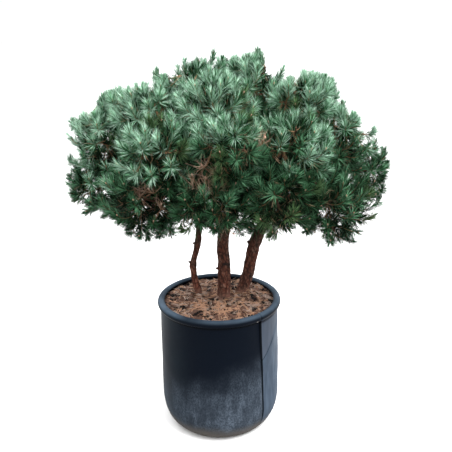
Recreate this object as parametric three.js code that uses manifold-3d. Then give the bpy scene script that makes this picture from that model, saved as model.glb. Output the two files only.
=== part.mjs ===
// A small Scots pine with three stems and a broad, domed crown of blue-green needles, in a round
// black nursery pot. Sizes are in millimetres. The origin is the middle of the pot's flat
// underside, +Z is up, and the side that shows the three stems side by side faces -Y.

import * as THREE from 'three';
import { mergeVertices } from 'three/addons/utils/BufferGeometryUtils.js';
import Module from 'manifold-3d';

const wasm = await Module();
wasm.setup();

// Clearances
const GAP = 0.3;
const LIMB_CLEARANCE = 1.5;
const CELL_MARGIN = 0.6;

// Pot
const POT_HEIGHT = 587;
const RIM_RADIUS = 270;
const LIP_RADIUS = 16.5;
const WALL = 5;
const NECK_RADIUS = 256.7;
const BELLY_RADIUS = 263.2;
const INNER_RADIUS = NECK_RADIUS - WALL;
const FOOT_RADIUS = 190;
const HEEL_HEIGHT = 140;
const WALL_MIDDLE = 350;
const WALL_FULLNESS = 1.4;
const POT_COLUMNS = 36;
const SEAM_AZIMUTH = THREE.MathUtils.degToRad(-47);
const SEAM_STEP = 4;
const NECK_STEP = 9;
const SEAM_WIDTH = 0.006;
const SEAM_FOOT = 60;
const SEAM_FADE = THREE.MathUtils.degToRad(60);

// Soil
const SOIL_MIDDLE = 575;
const SOIL_EDGE = 562;
const SOIL_TOP_RADIUS = 236;
const SOIL_FLAT_RADIUS = 160;

// Stems, from the flat cut on the soil up through the crown. A root's two values are the share by
// which it swells or narrows the stem and the length over which that dies away. A stub's four
// values are its height, the azimuth it points to in degrees, its length and its radius.
const GROUND = SOIL_MIDDLE + GAP;
const STEM_SIDES = 8;
const STEM_STEPS = 12;
const STEM_TAPER = 1.8;
const STUB_RISE = 0.35;
const STUB_ROOT_SPREAD = 1.5;
const STUB_TIP_SPREAD = 0.7;
const STEMS = [
  {
    name: 'stem_left', radius: 15, tipRadius: 8, tipMass: 'top_left', root: [0.15, 32],
    course: [[-87, 34, GROUND], [-108, 34, 660], [-112, 34, 722], [-96, 34, 790], [-81, 33, 880],
      [-92, 28, 1050], [-104, 18, 1200], [-92, 4, 1335]],
    stubs: [[728, 190, 16, 5], [812, 165, 13, 4.5]],
  },
  {
    name: 'stem_middle', radius: 29, tipRadius: 9, tipMass: 'peak', root: [0.12, 32],
    course: [[20, 12, GROUND], [24, 12, 690], [20, 12, 830], [32, 12, 900], [62, 14, 960],
      [96, 16, 1090], [126, 12, 1230], [150, 2, 1350]],
    stubs: [[702, 200, 20, 7], [846, 250, 18, 7]],
  },
  {
    name: 'stem_right', radius: 30, tipRadius: 8, tipMass: 'right_top', root: [-0.22, 110],
    course: [[98, 66, GROUND], [129, 66, 657], [149, 66, 763], [175, 64, 846], [212, 56, 930],
      [250, 34, 1080], [284, -12, 1210], [308, -62, 1300]],
    stubs: [[802, 190, 12, 9], [756, 20, 13, 7]],
  },
];

// Boughs: round and tapering
const BOUGH_SIDES = 5;
const BOUGH_STEPS = 4;
const BOUGH_TIP_RADIUS = 6.5;
const BOUGH_RISE = 0.55;
const BEND_SHARE = 0.35;

// Masses of foliage. Each has a middle, a reach to its furthest needles, and the limb that
// carries it: a bough that leaves a stem at a height, as thick there as its girth, or the tip of
// a stem. Boughs head into their masses away from the hub, deep in the bare middle of the crown.
const HUB = new THREE.Vector3(50, 20, 960);
const FLATTEN = 0.92;
const FOOT_SHARE = 0.72;
const CORE_SHARE = 0.5;
const CORE_MARGIN = 6;
const CORE_LUMPS = 0.2;
const STEM_OVERRUN = 0.12;
const MASSES = [
  { name: 'left_low', middle: [-450, -15, 1082], reach: 176, from: 'stem_middle', at: 868, girth: 10 },
  { name: 'left_upper', middle: [-446, -10, 1262], reach: 174, from: 'stem_left', at: 1085, girth: 9 },
  { name: 'left_front_low', middle: [-275, -300, 1100], reach: 180, from: 'stem_left', at: 985, girth: 9 },
  { name: 'left_front_mid', middle: [-195, -360, 1275], reach: 170, from: 'stem_left', at: 1040, girth: 9 },
  { name: 'left_peak', middle: [-410, 65, 1392], reach: 135, from: 'stem_left', at: 1150, girth: 8 },
  { name: 'upper_left', middle: [-245, -130, 1380], reach: 165, from: 'stem_left', at: 1215, girth: 8 },
  { name: 'top_left', middle: [-85, 0, 1450], reach: 170 },
  { name: 'peak', middle: [155, -5, 1480], reach: 160 },
  { name: 'front_upper', middle: [-5, -245, 1410], reach: 170, from: 'stem_middle', at: 1200, girth: 9 },
  { name: 'front_mid', middle: [45, -425, 1305], reach: 155, from: 'stem_middle', at: 1075, girth: 9 },
  { name: 'front_low', middle: [-15, -420, 1125], reach: 170, from: 'stem_middle', at: 965, girth: 9 },
  { name: 'right_front_low', middle: [215, -405, 1120], reach: 170, from: 'stem_right', at: 930, girth: 9 },
  { name: 'right_front_mid', middle: [270, -340, 1290], reach: 165, from: 'stem_right', at: 1045, girth: 9 },
  { name: 'right_low', middle: [435, -255, 1055], reach: 180, from: 'stem_right', at: 890, girth: 10 },
  { name: 'far_right', middle: [545, 25, 1105], reach: 176, from: 'stem_right', at: 975, girth: 10 },
  { name: 'right_upper', middle: [475, -80, 1265], reach: 175, from: 'stem_right', at: 1100, girth: 9 },
  { name: 'right_top', middle: [325, -90, 1425], reach: 145 },
  { name: 'right_top_back', middle: [385, 140, 1400], reach: 160, from: 'stem_right', at: 1150, girth: 8 },
  { name: 'back_left_low', middle: [-360, 310, 1105], reach: 180, from: 'stem_left', at: 955, girth: 9 },
  { name: 'back_left', middle: [-235, 280, 1320], reach: 180, from: 'stem_left', at: 1115, girth: 9 },
  { name: 'back_low', middle: [-80, 430, 1115], reach: 175, from: 'stem_middle', at: 990, girth: 9 },
  { name: 'back_mid', middle: [20, 375, 1325], reach: 175, from: 'stem_middle', at: 1110, girth: 9 },
  { name: 'back_right_low', middle: [210, 420, 1105], reach: 175, from: 'stem_right', at: 950, girth: 9 },
  { name: 'back_right', middle: [260, 320, 1325], reach: 175, from: 'stem_right', at: 1075, girth: 9 },
  { name: 'back_far_right', middle: [450, 285, 1145], reach: 175, from: 'stem_right', at: 1015, girth: 9 },
  { name: 'back_top', middle: [60, 180, 1460], reach: 165, from: 'stem_middle', at: 1235, girth: 8 },
];

// Sprays of needles. Buds are dealt out by two strides that fill tilt and turn evenly. The draws
// number the chances of each mass or spray, so that no two uses share one.
const SPRAYS_PER_MASS = 8;
const BUDS_PER_MASS = 40;
const TILT_STRIDE = 0.7549;
const TURN_STRIDE = 0.5698;
const CROWDED = Math.cos(THREE.MathUtils.degToRad(39));
const NARROWEST = THREE.MathUtils.degToRad(22);
const WIDEST = THREE.MathUtils.degToRad(125);
const LOW_PULL = -0.12;
const HIGH_PULL = 0.35;
const LOW_HEIGHT = 1080;
const HIGH_HEIGHT = 1400;
const TWIG_RADIUS = 4;
const SPRAY_CORE_RADIUS = 16;
const BARE_SHARE = 0.4;
const FULL_SHARE = 0.76;
const NEEDLE_LENGTH = 58;
const NEEDLE_LEAN = THREE.MathUtils.degToRad(34);
const SHORTENINGS = [1, 0.88, 0.76, 0.64];
const LENGTH_VARIATION = 0.1;
const NEEDLE_VARIATION = 0.3;
const LENGTH_DRAWS = 3;
const NEEDLE_DRAWS = 10;
const CORE_DRAWS = 60;
const SPRAY_SEEDS = 31;
const LOWEST_BUD = 0.4;
const HIGHEST_BUD = 0.95;

const MATERIALS = {
  pot: new THREE.MeshStandardMaterial({ color: 0x27303a, roughness: 0.62, metalness: 0 }),
  soil: new THREE.MeshStandardMaterial({ color: 0x735a4e, roughness: 1, metalness: 0 }),
  bark: new THREE.MeshStandardMaterial({ color: 0x523830, roughness: 0.95, metalness: 0 }),
  needles: new THREE.MeshStandardMaterial({ color: 0x456650, roughness: 0.7, metalness: 0 }),
};

// The same fraction between 0 and 1 for the same pair of whole numbers
function chance(seed, k) {
  const wave = Math.sin(seed * 12.9898 + k * 78.233) * 43758.5453;
  return wave - Math.floor(wave);
}

function vector(list) {
  return new THREE.Vector3(...list);
}

// Turns a closed geometry into a solid, once its shared corners are merged
function toSolid(geometry) {
  geometry.deleteAttribute('normal');
  geometry.deleteAttribute('uv');
  const merged = mergeVertices(geometry, 1e-4);
  const corners = merged.index.array;
  const triangles = [];
  for (let i = 0; i < corners.length; i += 3) {
    const [a, b, c] = [corners[i], corners[i + 1], corners[i + 2]];
    if (a !== b && b !== c && c !== a) {
      triangles.push(a, b, c);
    }
  }
  return new wasm.Manifold(new wasm.Mesh({
    numProp: 3,
    vertProperties: new Float32Array(merged.attributes.position.array),
    triVerts: new Uint32Array(triangles),
  }));
}

// Turns a solid into a named mesh that stands at a place of its own
function toMesh(name, solid, place, material) {
  const { vertProperties, triVerts } = solid.getMesh();
  const geometry = new THREE.BufferGeometry();
  geometry.setAttribute('position', new THREE.BufferAttribute(new Float32Array(vertProperties), 3));
  geometry.setIndex(new THREE.BufferAttribute(new Uint32Array(triVerts), 1));
  geometry.translate(-place.x, -place.y, -place.z);
  geometry.computeVertexNormals();
  const mesh = new THREE.Mesh(geometry, material);
  mesh.name = name;
  mesh.position.copy(place);
  return mesh;
}

// An arc of an ellipse in a lathe profile, from one angle to another in degrees
function arc(radius, height, halfWidth, halfHeight, fromDegrees, toDegrees, steps) {
  return Array.from({ length: steps + 1 }, (_, i) => {
    const angle = THREE.MathUtils.degToRad(THREE.MathUtils.lerp(fromDegrees, toDegrees, i / steps));
    return new THREE.Vector2(radius + halfWidth * Math.cos(angle), height + halfHeight * Math.sin(angle));
  });
}

// Turns a profile about Z. The lathe's columns are moved so that two of them lie close together
// at the seam, and a column's azimuth may push its points outward.
function revolve(profile, liftAt = () => 0) {
  const geometry = new THREE.LatheGeometry(profile, POT_COLUMNS).rotateX(Math.PI / 2);
  const position = geometry.attributes.position;
  const even = 2 * Math.PI / POT_COLUMNS;
  const seamColumn = Math.round(SEAM_AZIMUTH / even);
  for (let i = 0; i < position.count; i += 1) {
    const radius = Math.hypot(position.getX(i), position.getY(i));
    const column = Math.round(Math.atan2(position.getY(i), position.getX(i)) / even);
    const past = THREE.MathUtils.euclideanModulo(column - seamColumn, POT_COLUMNS);
    const turn = past === 0 ? -SEAM_WIDTH : (past - 1) * 2 * Math.PI / (POT_COLUMNS - 1);
    const azimuth = SEAM_AZIMUTH + turn;
    const outward = radius + liftAt(radius, position.getZ(i), azimuth);
    position.setXY(i, outward * Math.cos(azimuth), outward * Math.sin(azimuth));
  }
  return geometry;
}

// The wall's outer radius between the heel and the lip, a little fuller low down
function wallRadius(height) {
  const share = THREE.MathUtils.clamp((height - HEEL_HEIGHT) / (POT_HEIGHT - HEEL_HEIGHT), 0, 1);
  return THREE.MathUtils.lerp(BELLY_RADIUS, NECK_RADIUS, share ** WALL_FULLNESS);
}

// How far the lapped wall stands out past its seam: a sharp step that fades away round the pot
// and grows towards the neck. Only the outer wall between the heel and the lip has it.
function seamLift(radius, height, azimuth) {
  const past = THREE.MathUtils.euclideanModulo(azimuth - SEAM_AZIMUTH, 2 * Math.PI);
  const onWall = height > SEAM_FOOT && height < POT_HEIGHT - LIP_RADIUS && radius >= NECK_RADIUS - 1;
  const step = THREE.MathUtils.lerp(SEAM_STEP, NECK_STEP, (height / POT_HEIGHT) ** 2);
  return onWall && past < SEAM_FADE ? step * (1 - past / SEAM_FADE) ** 2 : 0;
}

// The pot: one thin wall with a rounded heel, a rolled lip and a lapped seam down its side
function pot() {
  const lipHeight = POT_HEIGHT - LIP_RADIUS;
  const lipMiddle = RIM_RADIUS - LIP_RADIUS;
  const profile = [
    new THREE.Vector2(0, 0),
    ...arc(FOOT_RADIUS, HEEL_HEIGHT, BELLY_RADIUS - FOOT_RADIUS, HEEL_HEIGHT, -90, 0, 4),
    new THREE.Vector2(wallRadius(WALL_MIDDLE), WALL_MIDDLE),
    new THREE.Vector2(NECK_RADIUS, lipHeight - LIP_RADIUS),
    ...arc(lipMiddle, lipHeight, LIP_RADIUS, LIP_RADIUS, -60, 150, 5),
    new THREE.Vector2(INNER_RADIUS, lipHeight - LIP_RADIUS),
    ...arc(FOOT_RADIUS, HEEL_HEIGHT, INNER_RADIUS - FOOT_RADIUS, HEEL_HEIGHT - WALL, 0, -90, 3),
    new THREE.Vector2(0, WALL),
  ];
  return toSolid(revolve(profile, seamLift));
}

// The soil fills the pot to just under its lip, a little higher round the stems
function soil() {
  const outer = INNER_RADIUS - 2 * GAP;
  const floor = WALL + 2 * GAP;
  const profile = [
    new THREE.Vector2(0, floor),
    ...arc(FOOT_RADIUS, HEEL_HEIGHT, outer - FOOT_RADIUS, HEEL_HEIGHT - floor, -90, 0, 3),
    new THREE.Vector2(outer, SOIL_EDGE - LIP_RADIUS),
    new THREE.Vector2(SOIL_TOP_RADIUS, SOIL_EDGE),
    new THREE.Vector2(SOIL_FLAT_RADIUS, SOIL_MIDDLE),
    new THREE.Vector2(0, SOIL_MIDDLE),
  ];
  return toSolid(revolve(profile));
}

// A limb: rings square to a curve, with a radius that is a function of the share of its length,
// closed by a cap at each end. A grown limb is the same one a little fatter all over.
function limbSolid(limb, grown = 0) {
  const geometry = new THREE.CylinderGeometry(1, 1, 1, limb.sides, limb.steps);
  const frames = limb.curve.computeFrenetFrames(limb.steps);
  const position = geometry.attributes.position;
  for (let i = 0; i < position.count; i += 1) {
    const share = position.getY(i) + 0.5;
    const ring = Math.round(share * limb.steps);
    const radius = limb.radiusAt(share) + grown;
    const point = limb.curve.getPointAt(share)
      .addScaledVector(frames.normals[ring], position.getX(i) * radius)
      .addScaledVector(frames.binormals[ring], -position.getZ(i) * radius);
    if (limb.ground !== undefined && ring === 0) {
      point.z = limb.ground;
    }
    position.setXYZ(i, point.x, point.y, point.z);
  }
  return toSolid(geometry);
}

// The share of a rising curve's length at which it reaches a height
function shareAtHeight(curve, height) {
  let low = 0;
  let high = 1;
  for (let i = 0; i < 24; i += 1) {
    const middle = (low + high) / 2;
    if (curve.getPointAt(middle).z < height) {
      low = middle;
    } else {
      high = middle;
    }
  }
  return low;
}

// A dead stub or knot on a stem: a short blunt peg that points out and a little up
function stub(stem, [height, azimuth, length, radius]) {
  const root = stem.curve.getPointAt(shareAtHeight(stem.curve, height));
  const turn = THREE.MathUtils.degToRad(azimuth);
  const out = new THREE.Vector3(Math.cos(turn), Math.sin(turn), STUB_RISE).normalize();
  const tip = root.clone().addScaledVector(out, stem.radius + length);
  return limbSolid({
    curve: new THREE.LineCurve3(root, tip),
    radiusAt: (share) => radius * THREE.MathUtils.lerp(STUB_ROOT_SPREAD, STUB_TIP_SPREAD, share),
    sides: BOUGH_SIDES,
    steps: 1,
  });
}

// A stem follows its course, tapers to its tip and swells or narrows at the root
function stemLimb(stem) {
  const curve = new THREE.CatmullRomCurve3(stem.course.map(vector), false, 'centripetal');
  const length = curve.getLength();
  const radiusAt = (share) => {
    const swell = stem.root[0] * Math.exp(-share * length / stem.root[1]);
    return THREE.MathUtils.lerp(stem.radius, stem.tipRadius, share ** STEM_TAPER) * (1 + swell);
  };
  return { ...stem, curve, radiusAt, sides: STEM_SIDES, steps: STEM_STEPS, ground: GROUND };
}

// A bough leaves its stem outward and upward and bends round to head into its mass
function boughLimb(mass, stems) {
  const stem = stems.find((candidate) => candidate.name === mass.from);
  const start = stem.curve.getPointAt(shareAtHeight(stem.curve, mass.at));
  const middle = vector(mass.middle);
  const heading = middle.clone().sub(HUB).normalize();
  const foot = middle.clone().addScaledVector(heading, -mass.reach * FOOT_SHARE);
  const span = start.distanceTo(foot);
  const outward = foot.clone().sub(start).setZ(0).normalize().setZ(BOUGH_RISE).normalize();
  const curve = new THREE.CubicBezierCurve3(
    start,
    start.clone().addScaledVector(outward, span * BEND_SHARE),
    foot.clone().addScaledVector(heading, -span * BEND_SHARE),
    foot,
  );
  const radiusAt = (share) => THREE.MathUtils.lerp(mass.girth, BOUGH_TIP_RADIUS, share);
  return { name: `bough_${mass.name}`, curve, radiusAt, sides: BOUGH_SIDES, steps: BOUGH_STEPS, stem };
}

// How far a point lies inside a mass's own space, measured to the plane shared with its nearest
// neighbour. Neighbours share the room between them in proportion to their reach.
function depthInSpace(point, mass) {
  const own = vector(mass.middle);
  return Math.min(...MASSES.filter((other) => other !== mass).map((other) => {
    const theirs = vector(other.middle);
    const toOwn = point.distanceToSquared(own) - mass.reach ** 2;
    const toTheirs = point.distanceToSquared(theirs) - other.reach ** 2;
    return (toTheirs - toOwn) / (2 * own.distanceTo(theirs));
  }));
}

// A spray: a bare three-sided twig that swells into a slim core and ends in a point. Each ring is
// turned half a side on the last, and each face past the bare twig is raised to a needle point.
function sprayPoints(root, tip, seed) {
  const along = tip.clone().sub(root);
  const length = along.length();
  along.normalize();
  const side = new THREE.Vector3(0, 0, 1).cross(along);
  if (side.length() < 0.1) {
    side.set(1, 0, 0);
  }
  side.normalize();
  const up = along.clone().cross(side);
  const rings = [[0, TWIG_RADIUS], [BARE_SHARE, TWIG_RADIUS], [FULL_SHARE, SPRAY_CORE_RADIUS]];
  const points = [];
  rings.forEach(([share, radius], ring) => {
    for (let corner = 0; corner < 3; corner += 1) {
      const angle = corner * 2 * Math.PI / 3 + ring * Math.PI / 3 + chance(seed, 1) * 2 * Math.PI;
      points.push(root.clone().addScaledVector(along, share * length)
        .addScaledVector(side, Math.cos(angle) * radius)
        .addScaledVector(up, Math.sin(angle) * radius));
    }
  });
  points.push(tip.clone());
  const faces = [[2, 1, 0]];
  const raised = [];
  for (let ring = 0; ring < 2; ring += 1) {
    for (let corner = 0; corner < 3; corner += 1) {
      const low = ring * 3;
      const a = low + corner;
      const b = low + (corner + 1) % 3;
      const c = low + 3 + corner;
      const d = low + 3 + (corner + 2) % 3;
      (ring === 0 ? faces : raised).push([a, b, c], [a, c, d]);
    }
  }
  for (let corner = 0; corner < 3; corner += 1) {
    raised.push([6 + corner, 6 + (corner + 1) % 3, 9]);
  }
  raised.forEach((face, index) => {
    const middle = new THREE.Vector3();
    face.forEach((corner) => middle.addScaledVector(points[corner], 1 / 3));
    const foot = root.clone().addScaledVector(along, middle.clone().sub(root).dot(along));
    const outward = middle.clone().sub(foot).normalize();
    const needle = NEEDLE_LENGTH
      * (1 + NEEDLE_VARIATION * (chance(seed, NEEDLE_DRAWS + index) - 0.5));
    const apex = middle.addScaledVector(outward, needle * Math.cos(NEEDLE_LEAN))
      .addScaledVector(along, needle * Math.sin(NEEDLE_LEAN));
    const point = points.push(apex) - 1;
    face.forEach((corner, i) => faces.push([corner, face[(i + 1) % 3], point]));
  });
  return { points, faces };
}

function spraySolid({ points, faces }) {
  const geometry = new THREE.BufferGeometry().setFromPoints(points);
  geometry.setIndex(faces.flat());
  return toSolid(geometry);
}

// Where a ray from a point inside a mass leaves its reach, which is a slightly flattened ball
function edgeOfReach(mass, root, heading) {
  const scale = new THREE.Vector3(1, 1, 1 / FLATTEN);
  const from = root.clone().sub(vector(mass.middle)).multiply(scale);
  const ray = heading.clone().multiply(scale);
  const a = ray.lengthSq();
  const b = from.dot(ray);
  const c = from.lengthSq() - mass.reach ** 2;
  return (-b + Math.sqrt(b * b - a * c)) / a;
}

// The stem of a mass starts just clear of the tip of the limb that carries it, in line with it,
// and bends up through the middle of the mass
function massStem(mass, carrier) {
  const heading = carrier.curve.getTangentAt(1).normalize();
  const foot = carrier.curve.getPointAt(1).addScaledVector(heading, GAP);
  const middle = vector(mass.middle);
  const end = middle.clone().addScaledVector(heading, mass.reach * STEM_OVERRUN);
  end.z += mass.reach * STEM_OVERRUN;
  const curve = new THREE.QuadraticBezierCurve3(
    foot,
    foot.clone().addScaledVector(heading, foot.distanceTo(middle) / 2),
    end,
  );
  const startRadius = carrier.radiusAt(1);
  const radiusAt = (share) => THREE.MathUtils.lerp(startRadius, TWIG_RADIUS + 1, share);
  return { curve, radiusAt, sides: BOUGH_SIDES, steps: 2, heading };
}

// Seeded rule: buds are dealt out evenly over all the ways that lead away from the mass's foot,
// and the straighter ahead a bud points, the higher it sits on the mass's stem. Each grows a
// spray out to the mass's reach, pulled down in a low mass and up in a high one. A spray that
// would crowd another is skipped, and so is one that, even shortened, would leave the mass's
// space or touch a limb.
function growSprays(mass, stem, seed, obstacle) {
  const sprays = [];
  const headings = [];
  const side = new THREE.Vector3(0, 0, 1).cross(stem.heading).normalize();
  const up = stem.heading.clone().cross(side);
  const pull = THREE.MathUtils.mapLinear(mass.middle[2], LOW_HEIGHT, HIGH_HEIGHT, LOW_PULL, HIGH_PULL);
  for (let k = 0; k < BUDS_PER_MASS && sprays.length < SPRAYS_PER_MASS; k += 1) {
    const share = (chance(seed, 0) + k * TILT_STRIDE) % 1;
    const turn = 2 * Math.PI * ((chance(seed, 1) + k * TURN_STRIDE) % 1);
    const spread = Math.acos(THREE.MathUtils.lerp(Math.cos(WIDEST), Math.cos(NARROWEST), share));
    const heading = stem.heading.clone().multiplyScalar(Math.cos(spread))
      .addScaledVector(side, Math.sin(spread) * Math.cos(turn))
      .addScaledVector(up, Math.sin(spread) * Math.sin(turn));
    heading.z += pull;
    heading.normalize();
    if (headings.some((other) => other.dot(heading) > CROWDED)) {
      continue;
    }
    const root = stem.curve.getPointAt(THREE.MathUtils.lerp(LOWEST_BUD, HIGHEST_BUD, share));
    const full = edgeOfReach(mass, root, heading)
      * (1 + LENGTH_VARIATION * (chance(seed, LENGTH_DRAWS + k) - 0.5));
    const grown = SHORTENINGS.map((shortening) => root.clone().addScaledVector(heading, full * shortening))
      .map((tip) => sprayPoints(root, tip, seed * SPRAY_SEEDS + k))
      .filter((spray) => spray.points.every((point) => depthInSpace(point, mass) > CELL_MARGIN))
      .map(spraySolid)
      .find((solid) => solid.intersect(obstacle).isEmpty());
    if (grown) {
      sprays.push(grown);
      headings.push(heading);
    }
  }
  return sprays;
}

// The dense heart of a mass: a lumpy ball, small enough to stay in the mass's own space
function core(mass, seed) {
  const middle = vector(mass.middle);
  const size = Math.min(mass.reach * CORE_SHARE, depthInSpace(middle, mass) - CORE_MARGIN);
  const geometry = new THREE.SphereGeometry(1, 7, 4);
  geometry.deleteAttribute('normal');
  geometry.deleteAttribute('uv');
  const ball = mergeVertices(geometry, 1e-4);
  const position = ball.attributes.position;
  for (let i = 0; i < position.count; i += 1) {
    const radius = size * (1 - CORE_LUMPS * chance(seed, CORE_DRAWS + i));
    const point = new THREE.Vector3().fromBufferAttribute(position, i).multiplyScalar(radius);
    point.z *= FLATTEN;
    point.add(middle);
    position.setXYZ(i, point.x, point.y, point.z);
  }
  return toSolid(ball);
}

function join(solids) {
  return solids.reduce((whole, solid) => whole.add(solid));
}

const tree = new THREE.Group();
const origin = new THREE.Vector3();
tree.add(toMesh('pot', pot(), origin, MATERIALS.pot));
tree.add(toMesh('soil', soil(), origin, MATERIALS.soil));

const stems = STEMS.map(stemLimb);
const boughs = MASSES.filter((mass) => mass.from).map((mass) => boughLimb(mass, stems));
const limbs = [...stems, ...boughs];
const grownLimbs = limbs.map((limb) => limbSolid(limb, LIMB_CLEARANCE));

for (const stem of stems) {
  const solid = join([limbSolid(stem), ...stem.stubs.map((peg) => stub(stem, peg))]);
  tree.add(toMesh(stem.name, solid, stem.curve.getPointAt(0), MATERIALS.bark));
}

for (const bough of boughs) {
  const solid = limbSolid(bough).subtract(limbSolid(bough.stem, GAP));
  tree.add(toMesh(bough.name, solid, bough.curve.getPointAt(0), MATERIALS.bark));
}

MASSES.forEach((mass, index) => {
  const seed = index + 1;
  const carrier = limbs.find((limb) => limb.tipMass === mass.name || limb.name === `bough_${mass.name}`);
  const stem = massStem(mass, carrier);
  const near = limbs.map((limb, i) => grownLimbs[i]).filter((grown, i) => limbs[i] !== carrier);
  const obstacle = join(near);
  const heart = core(mass, seed).subtract(obstacle);
  const solid = join([limbSolid(stem), heart, ...growSprays(mass, stem, seed, obstacle)]);
  tree.add(toMesh(`foliage_${mass.name}`, solid, stem.curve.getPointAt(0), MATERIALS.needles));
});

export default tree;
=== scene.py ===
"""A small Scots pine with three stems and a broad, domed crown, in a round black nursery pot.

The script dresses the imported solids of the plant. It is laid out as an add-on: property groups hold the
sizes and colours, one operator makes each group of like pieces, and a panel lists them. Lengths are in
metres and angles in radians. The side that shows the three stems side by side faces -Y. The whole
numbers that chance, stray, sway and scatter are given are seeds, one for each kind of draw.
"""

from collections import namedtuple
from itertools import product

import bpy
import numpy as np
from bpy.props import FloatProperty, FloatVectorProperty, IntProperty, PointerProperty
from bpy.types import Operator, Panel, PropertyGroup
from mathutils import Matrix


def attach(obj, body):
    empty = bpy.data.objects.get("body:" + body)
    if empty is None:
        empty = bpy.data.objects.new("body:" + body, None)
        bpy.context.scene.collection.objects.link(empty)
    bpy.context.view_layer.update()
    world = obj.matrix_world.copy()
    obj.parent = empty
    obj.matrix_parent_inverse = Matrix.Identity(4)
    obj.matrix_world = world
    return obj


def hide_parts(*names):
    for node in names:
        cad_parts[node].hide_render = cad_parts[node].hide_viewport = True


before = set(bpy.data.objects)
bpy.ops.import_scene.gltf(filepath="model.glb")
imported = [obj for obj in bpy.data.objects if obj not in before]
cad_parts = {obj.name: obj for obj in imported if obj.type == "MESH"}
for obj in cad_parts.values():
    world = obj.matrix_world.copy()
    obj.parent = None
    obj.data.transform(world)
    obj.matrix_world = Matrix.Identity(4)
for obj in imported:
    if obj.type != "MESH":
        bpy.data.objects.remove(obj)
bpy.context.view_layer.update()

bl_info = {
    "name": "Potted Scots Pine",
    "version": (1, 0, 0),
    "blender": (4, 5, 0),
    "location": "3D View > Sidebar > Scots Pine",
    "description": "Makes a small three-stemmed Scots pine in a nursery pot over its packed solids",
    "category": "Add Mesh",
}

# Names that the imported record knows
BODY = "root"

# Pot: its wall laps over itself at the seam, by steps at the foot and at the neck that fade past it, and
# the lapped panel is folded along a crease. The lip has a nick where the seam crosses it. Values in
# brackets are the two ends of a range.
POT_HEIGHT = 0.587
RIM_RADIUS = 0.27
LIP_RADIUS = 0.0165
WALL = 0.005
NECK_RADIUS = 0.2567
BELLY_RADIUS = 0.2632
INNER_RADIUS = NECK_RADIUS - WALL
FOOT_RADIUS = 0.19
HEEL_HEIGHT = 0.14
EYE_RADIUS = 0.03
WALL_FULLNESS = 1.4
SEAM_AZIMUTH = np.radians(-49.5)
SEAM_SLANT = np.radians(5)
SEAM_STEP = 0.004
NECK_STEP = 0.011
SEAM_FADE = np.radians(60)
SEAM_WIDTH = np.radians(0.12)
SEAM_ZONE = np.radians(8)
RIVET_AZIMUTH = np.radians(-53.5)
RIVET_RADIUS = 0.2665
RIVET_HEIGHT = 0.5605
RIVET_HEAD_RADIUS, RIVET_HEAD_HEIGHT = 0.0042, 0.0022
CREASE_FOOT = 0.376
CREASE_SLOPE = 0.237
CREASE_ENDS = (0.03, 0.45)
CREASE_STEP, CREASE_RIDGE = 0.003, 0.002
UNDER_LIP = 0.556
NICK_WIDTH, NICK_DEPTH = 0.0035, 0.0028
GROOVE_HEIGHT, GROOVE_WIDTH, GROOVE_DEPTH = 0.021, 0.004, 0.0022
CREASE_FADE_IN, CREASE_FADE_OUT = (-0.1, 0.15), (1.7, 1.1)
CREASE_EDGE, CREASE_RUN, CREASE_RIDGE_WIDTH = (0.004, -0.012), (-0.09, 0.0), 0.004
NICK_DROP = 0.8
STEP_RISE = (0.03, 0.09)
WIDE_DENT, SMALL_DENT, DENTS_FROM = 0.16, 0.05, 0.06
INNER_TOP, INNER_FOOT = 0.006, 0.02
RIVET_OUT, RIVET_DOWN, RIVET_FLAT, RIVET_SINK = 0.9, -0.43, 0.15, 0.001

# Soil: a flat middle that falls to an edge, grains as cell, seed and share of the relief, pits, and how
# far from the middle each kind of litter is dealt or kept
SOIL_MIDDLE = 0.575
SOIL_EDGE = 0.562
SOIL_FLAT_RADIUS = 0.16
SOIL_FALL_RUN = 0.076
SOIL_GRAINS = ((0.045, 11, 1.0), (0.014, 12, 0.7), (0.005, 13, 0.35))
GROUND = 0.5753
PIT_COUNT = 110
PIT_SPREAD = 0.24
PIT_STEEPNESS = 1.6
SCATTER_SPREAD = 0.242
CHIP_SPREAD = 0.236
NEEDLE_SPREAD = 0.255
STRAND_SPREAD = 0.247
STRAND_COUNT = 210
BUNDLE = 4
BUNDLE_WIDTH = 0.006
STRAND_MIDDLE = (0.02, -0.13)
STRAND_GIRTH = (0.0009, 0.0013, 0.0014, 0.0014, 0.0014, 0.0013, 0.0008)
SOIL_COLUMNS, SOIL_RINGS = 190, 88
SOIL_GAP = 0.0006
MOUND_HEIGHT, MOUND_MARGIN = 0.003, 0.02
OLD_SHARE, DARK_SHARE = 0.42, 0.34
SOIL_WALL_TOP, SOIL_EDGE_GAP, SOIL_HOLE = 0.545, 0.0008, 0.003
PIT_WIDTHS, PIT_RARITY = (0.004, 0.014), 1.6

# Litter: ranges of lengths, widths and lifts off the soil, and how far it strays in tilt and turn
FALLEN_SPANS, FALLEN_WIDTHS, FALLEN_LIFTS = (0.026, 0.056), (0.0022, 0.0034), (0.0005, 0.005)
FALLEN_TURN, FALLEN_TILT, FALLEN_SWING, FALLEN_FOLD = 0.3, 0.34, 0.008, 0.6
STRAND_FIELD, STRAND_STRETCH, STRAND_SWING = 0.07, 1.5, 2.6
STRAND_SPANS, STRAND_LIFTS = (0.05, 0.095), (0.002, 0.009)
CHIP_LENGTHS, CHIP_WIDTHS, CHIP_HEIGHTS = (0.005, 0.018), (0.003, 0.011), (0.0012, 0.0034)
CHIP_TILT, CHIP_LIFT, CHIP_WOBBLE = 0.8, 0.6, 0.5

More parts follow.
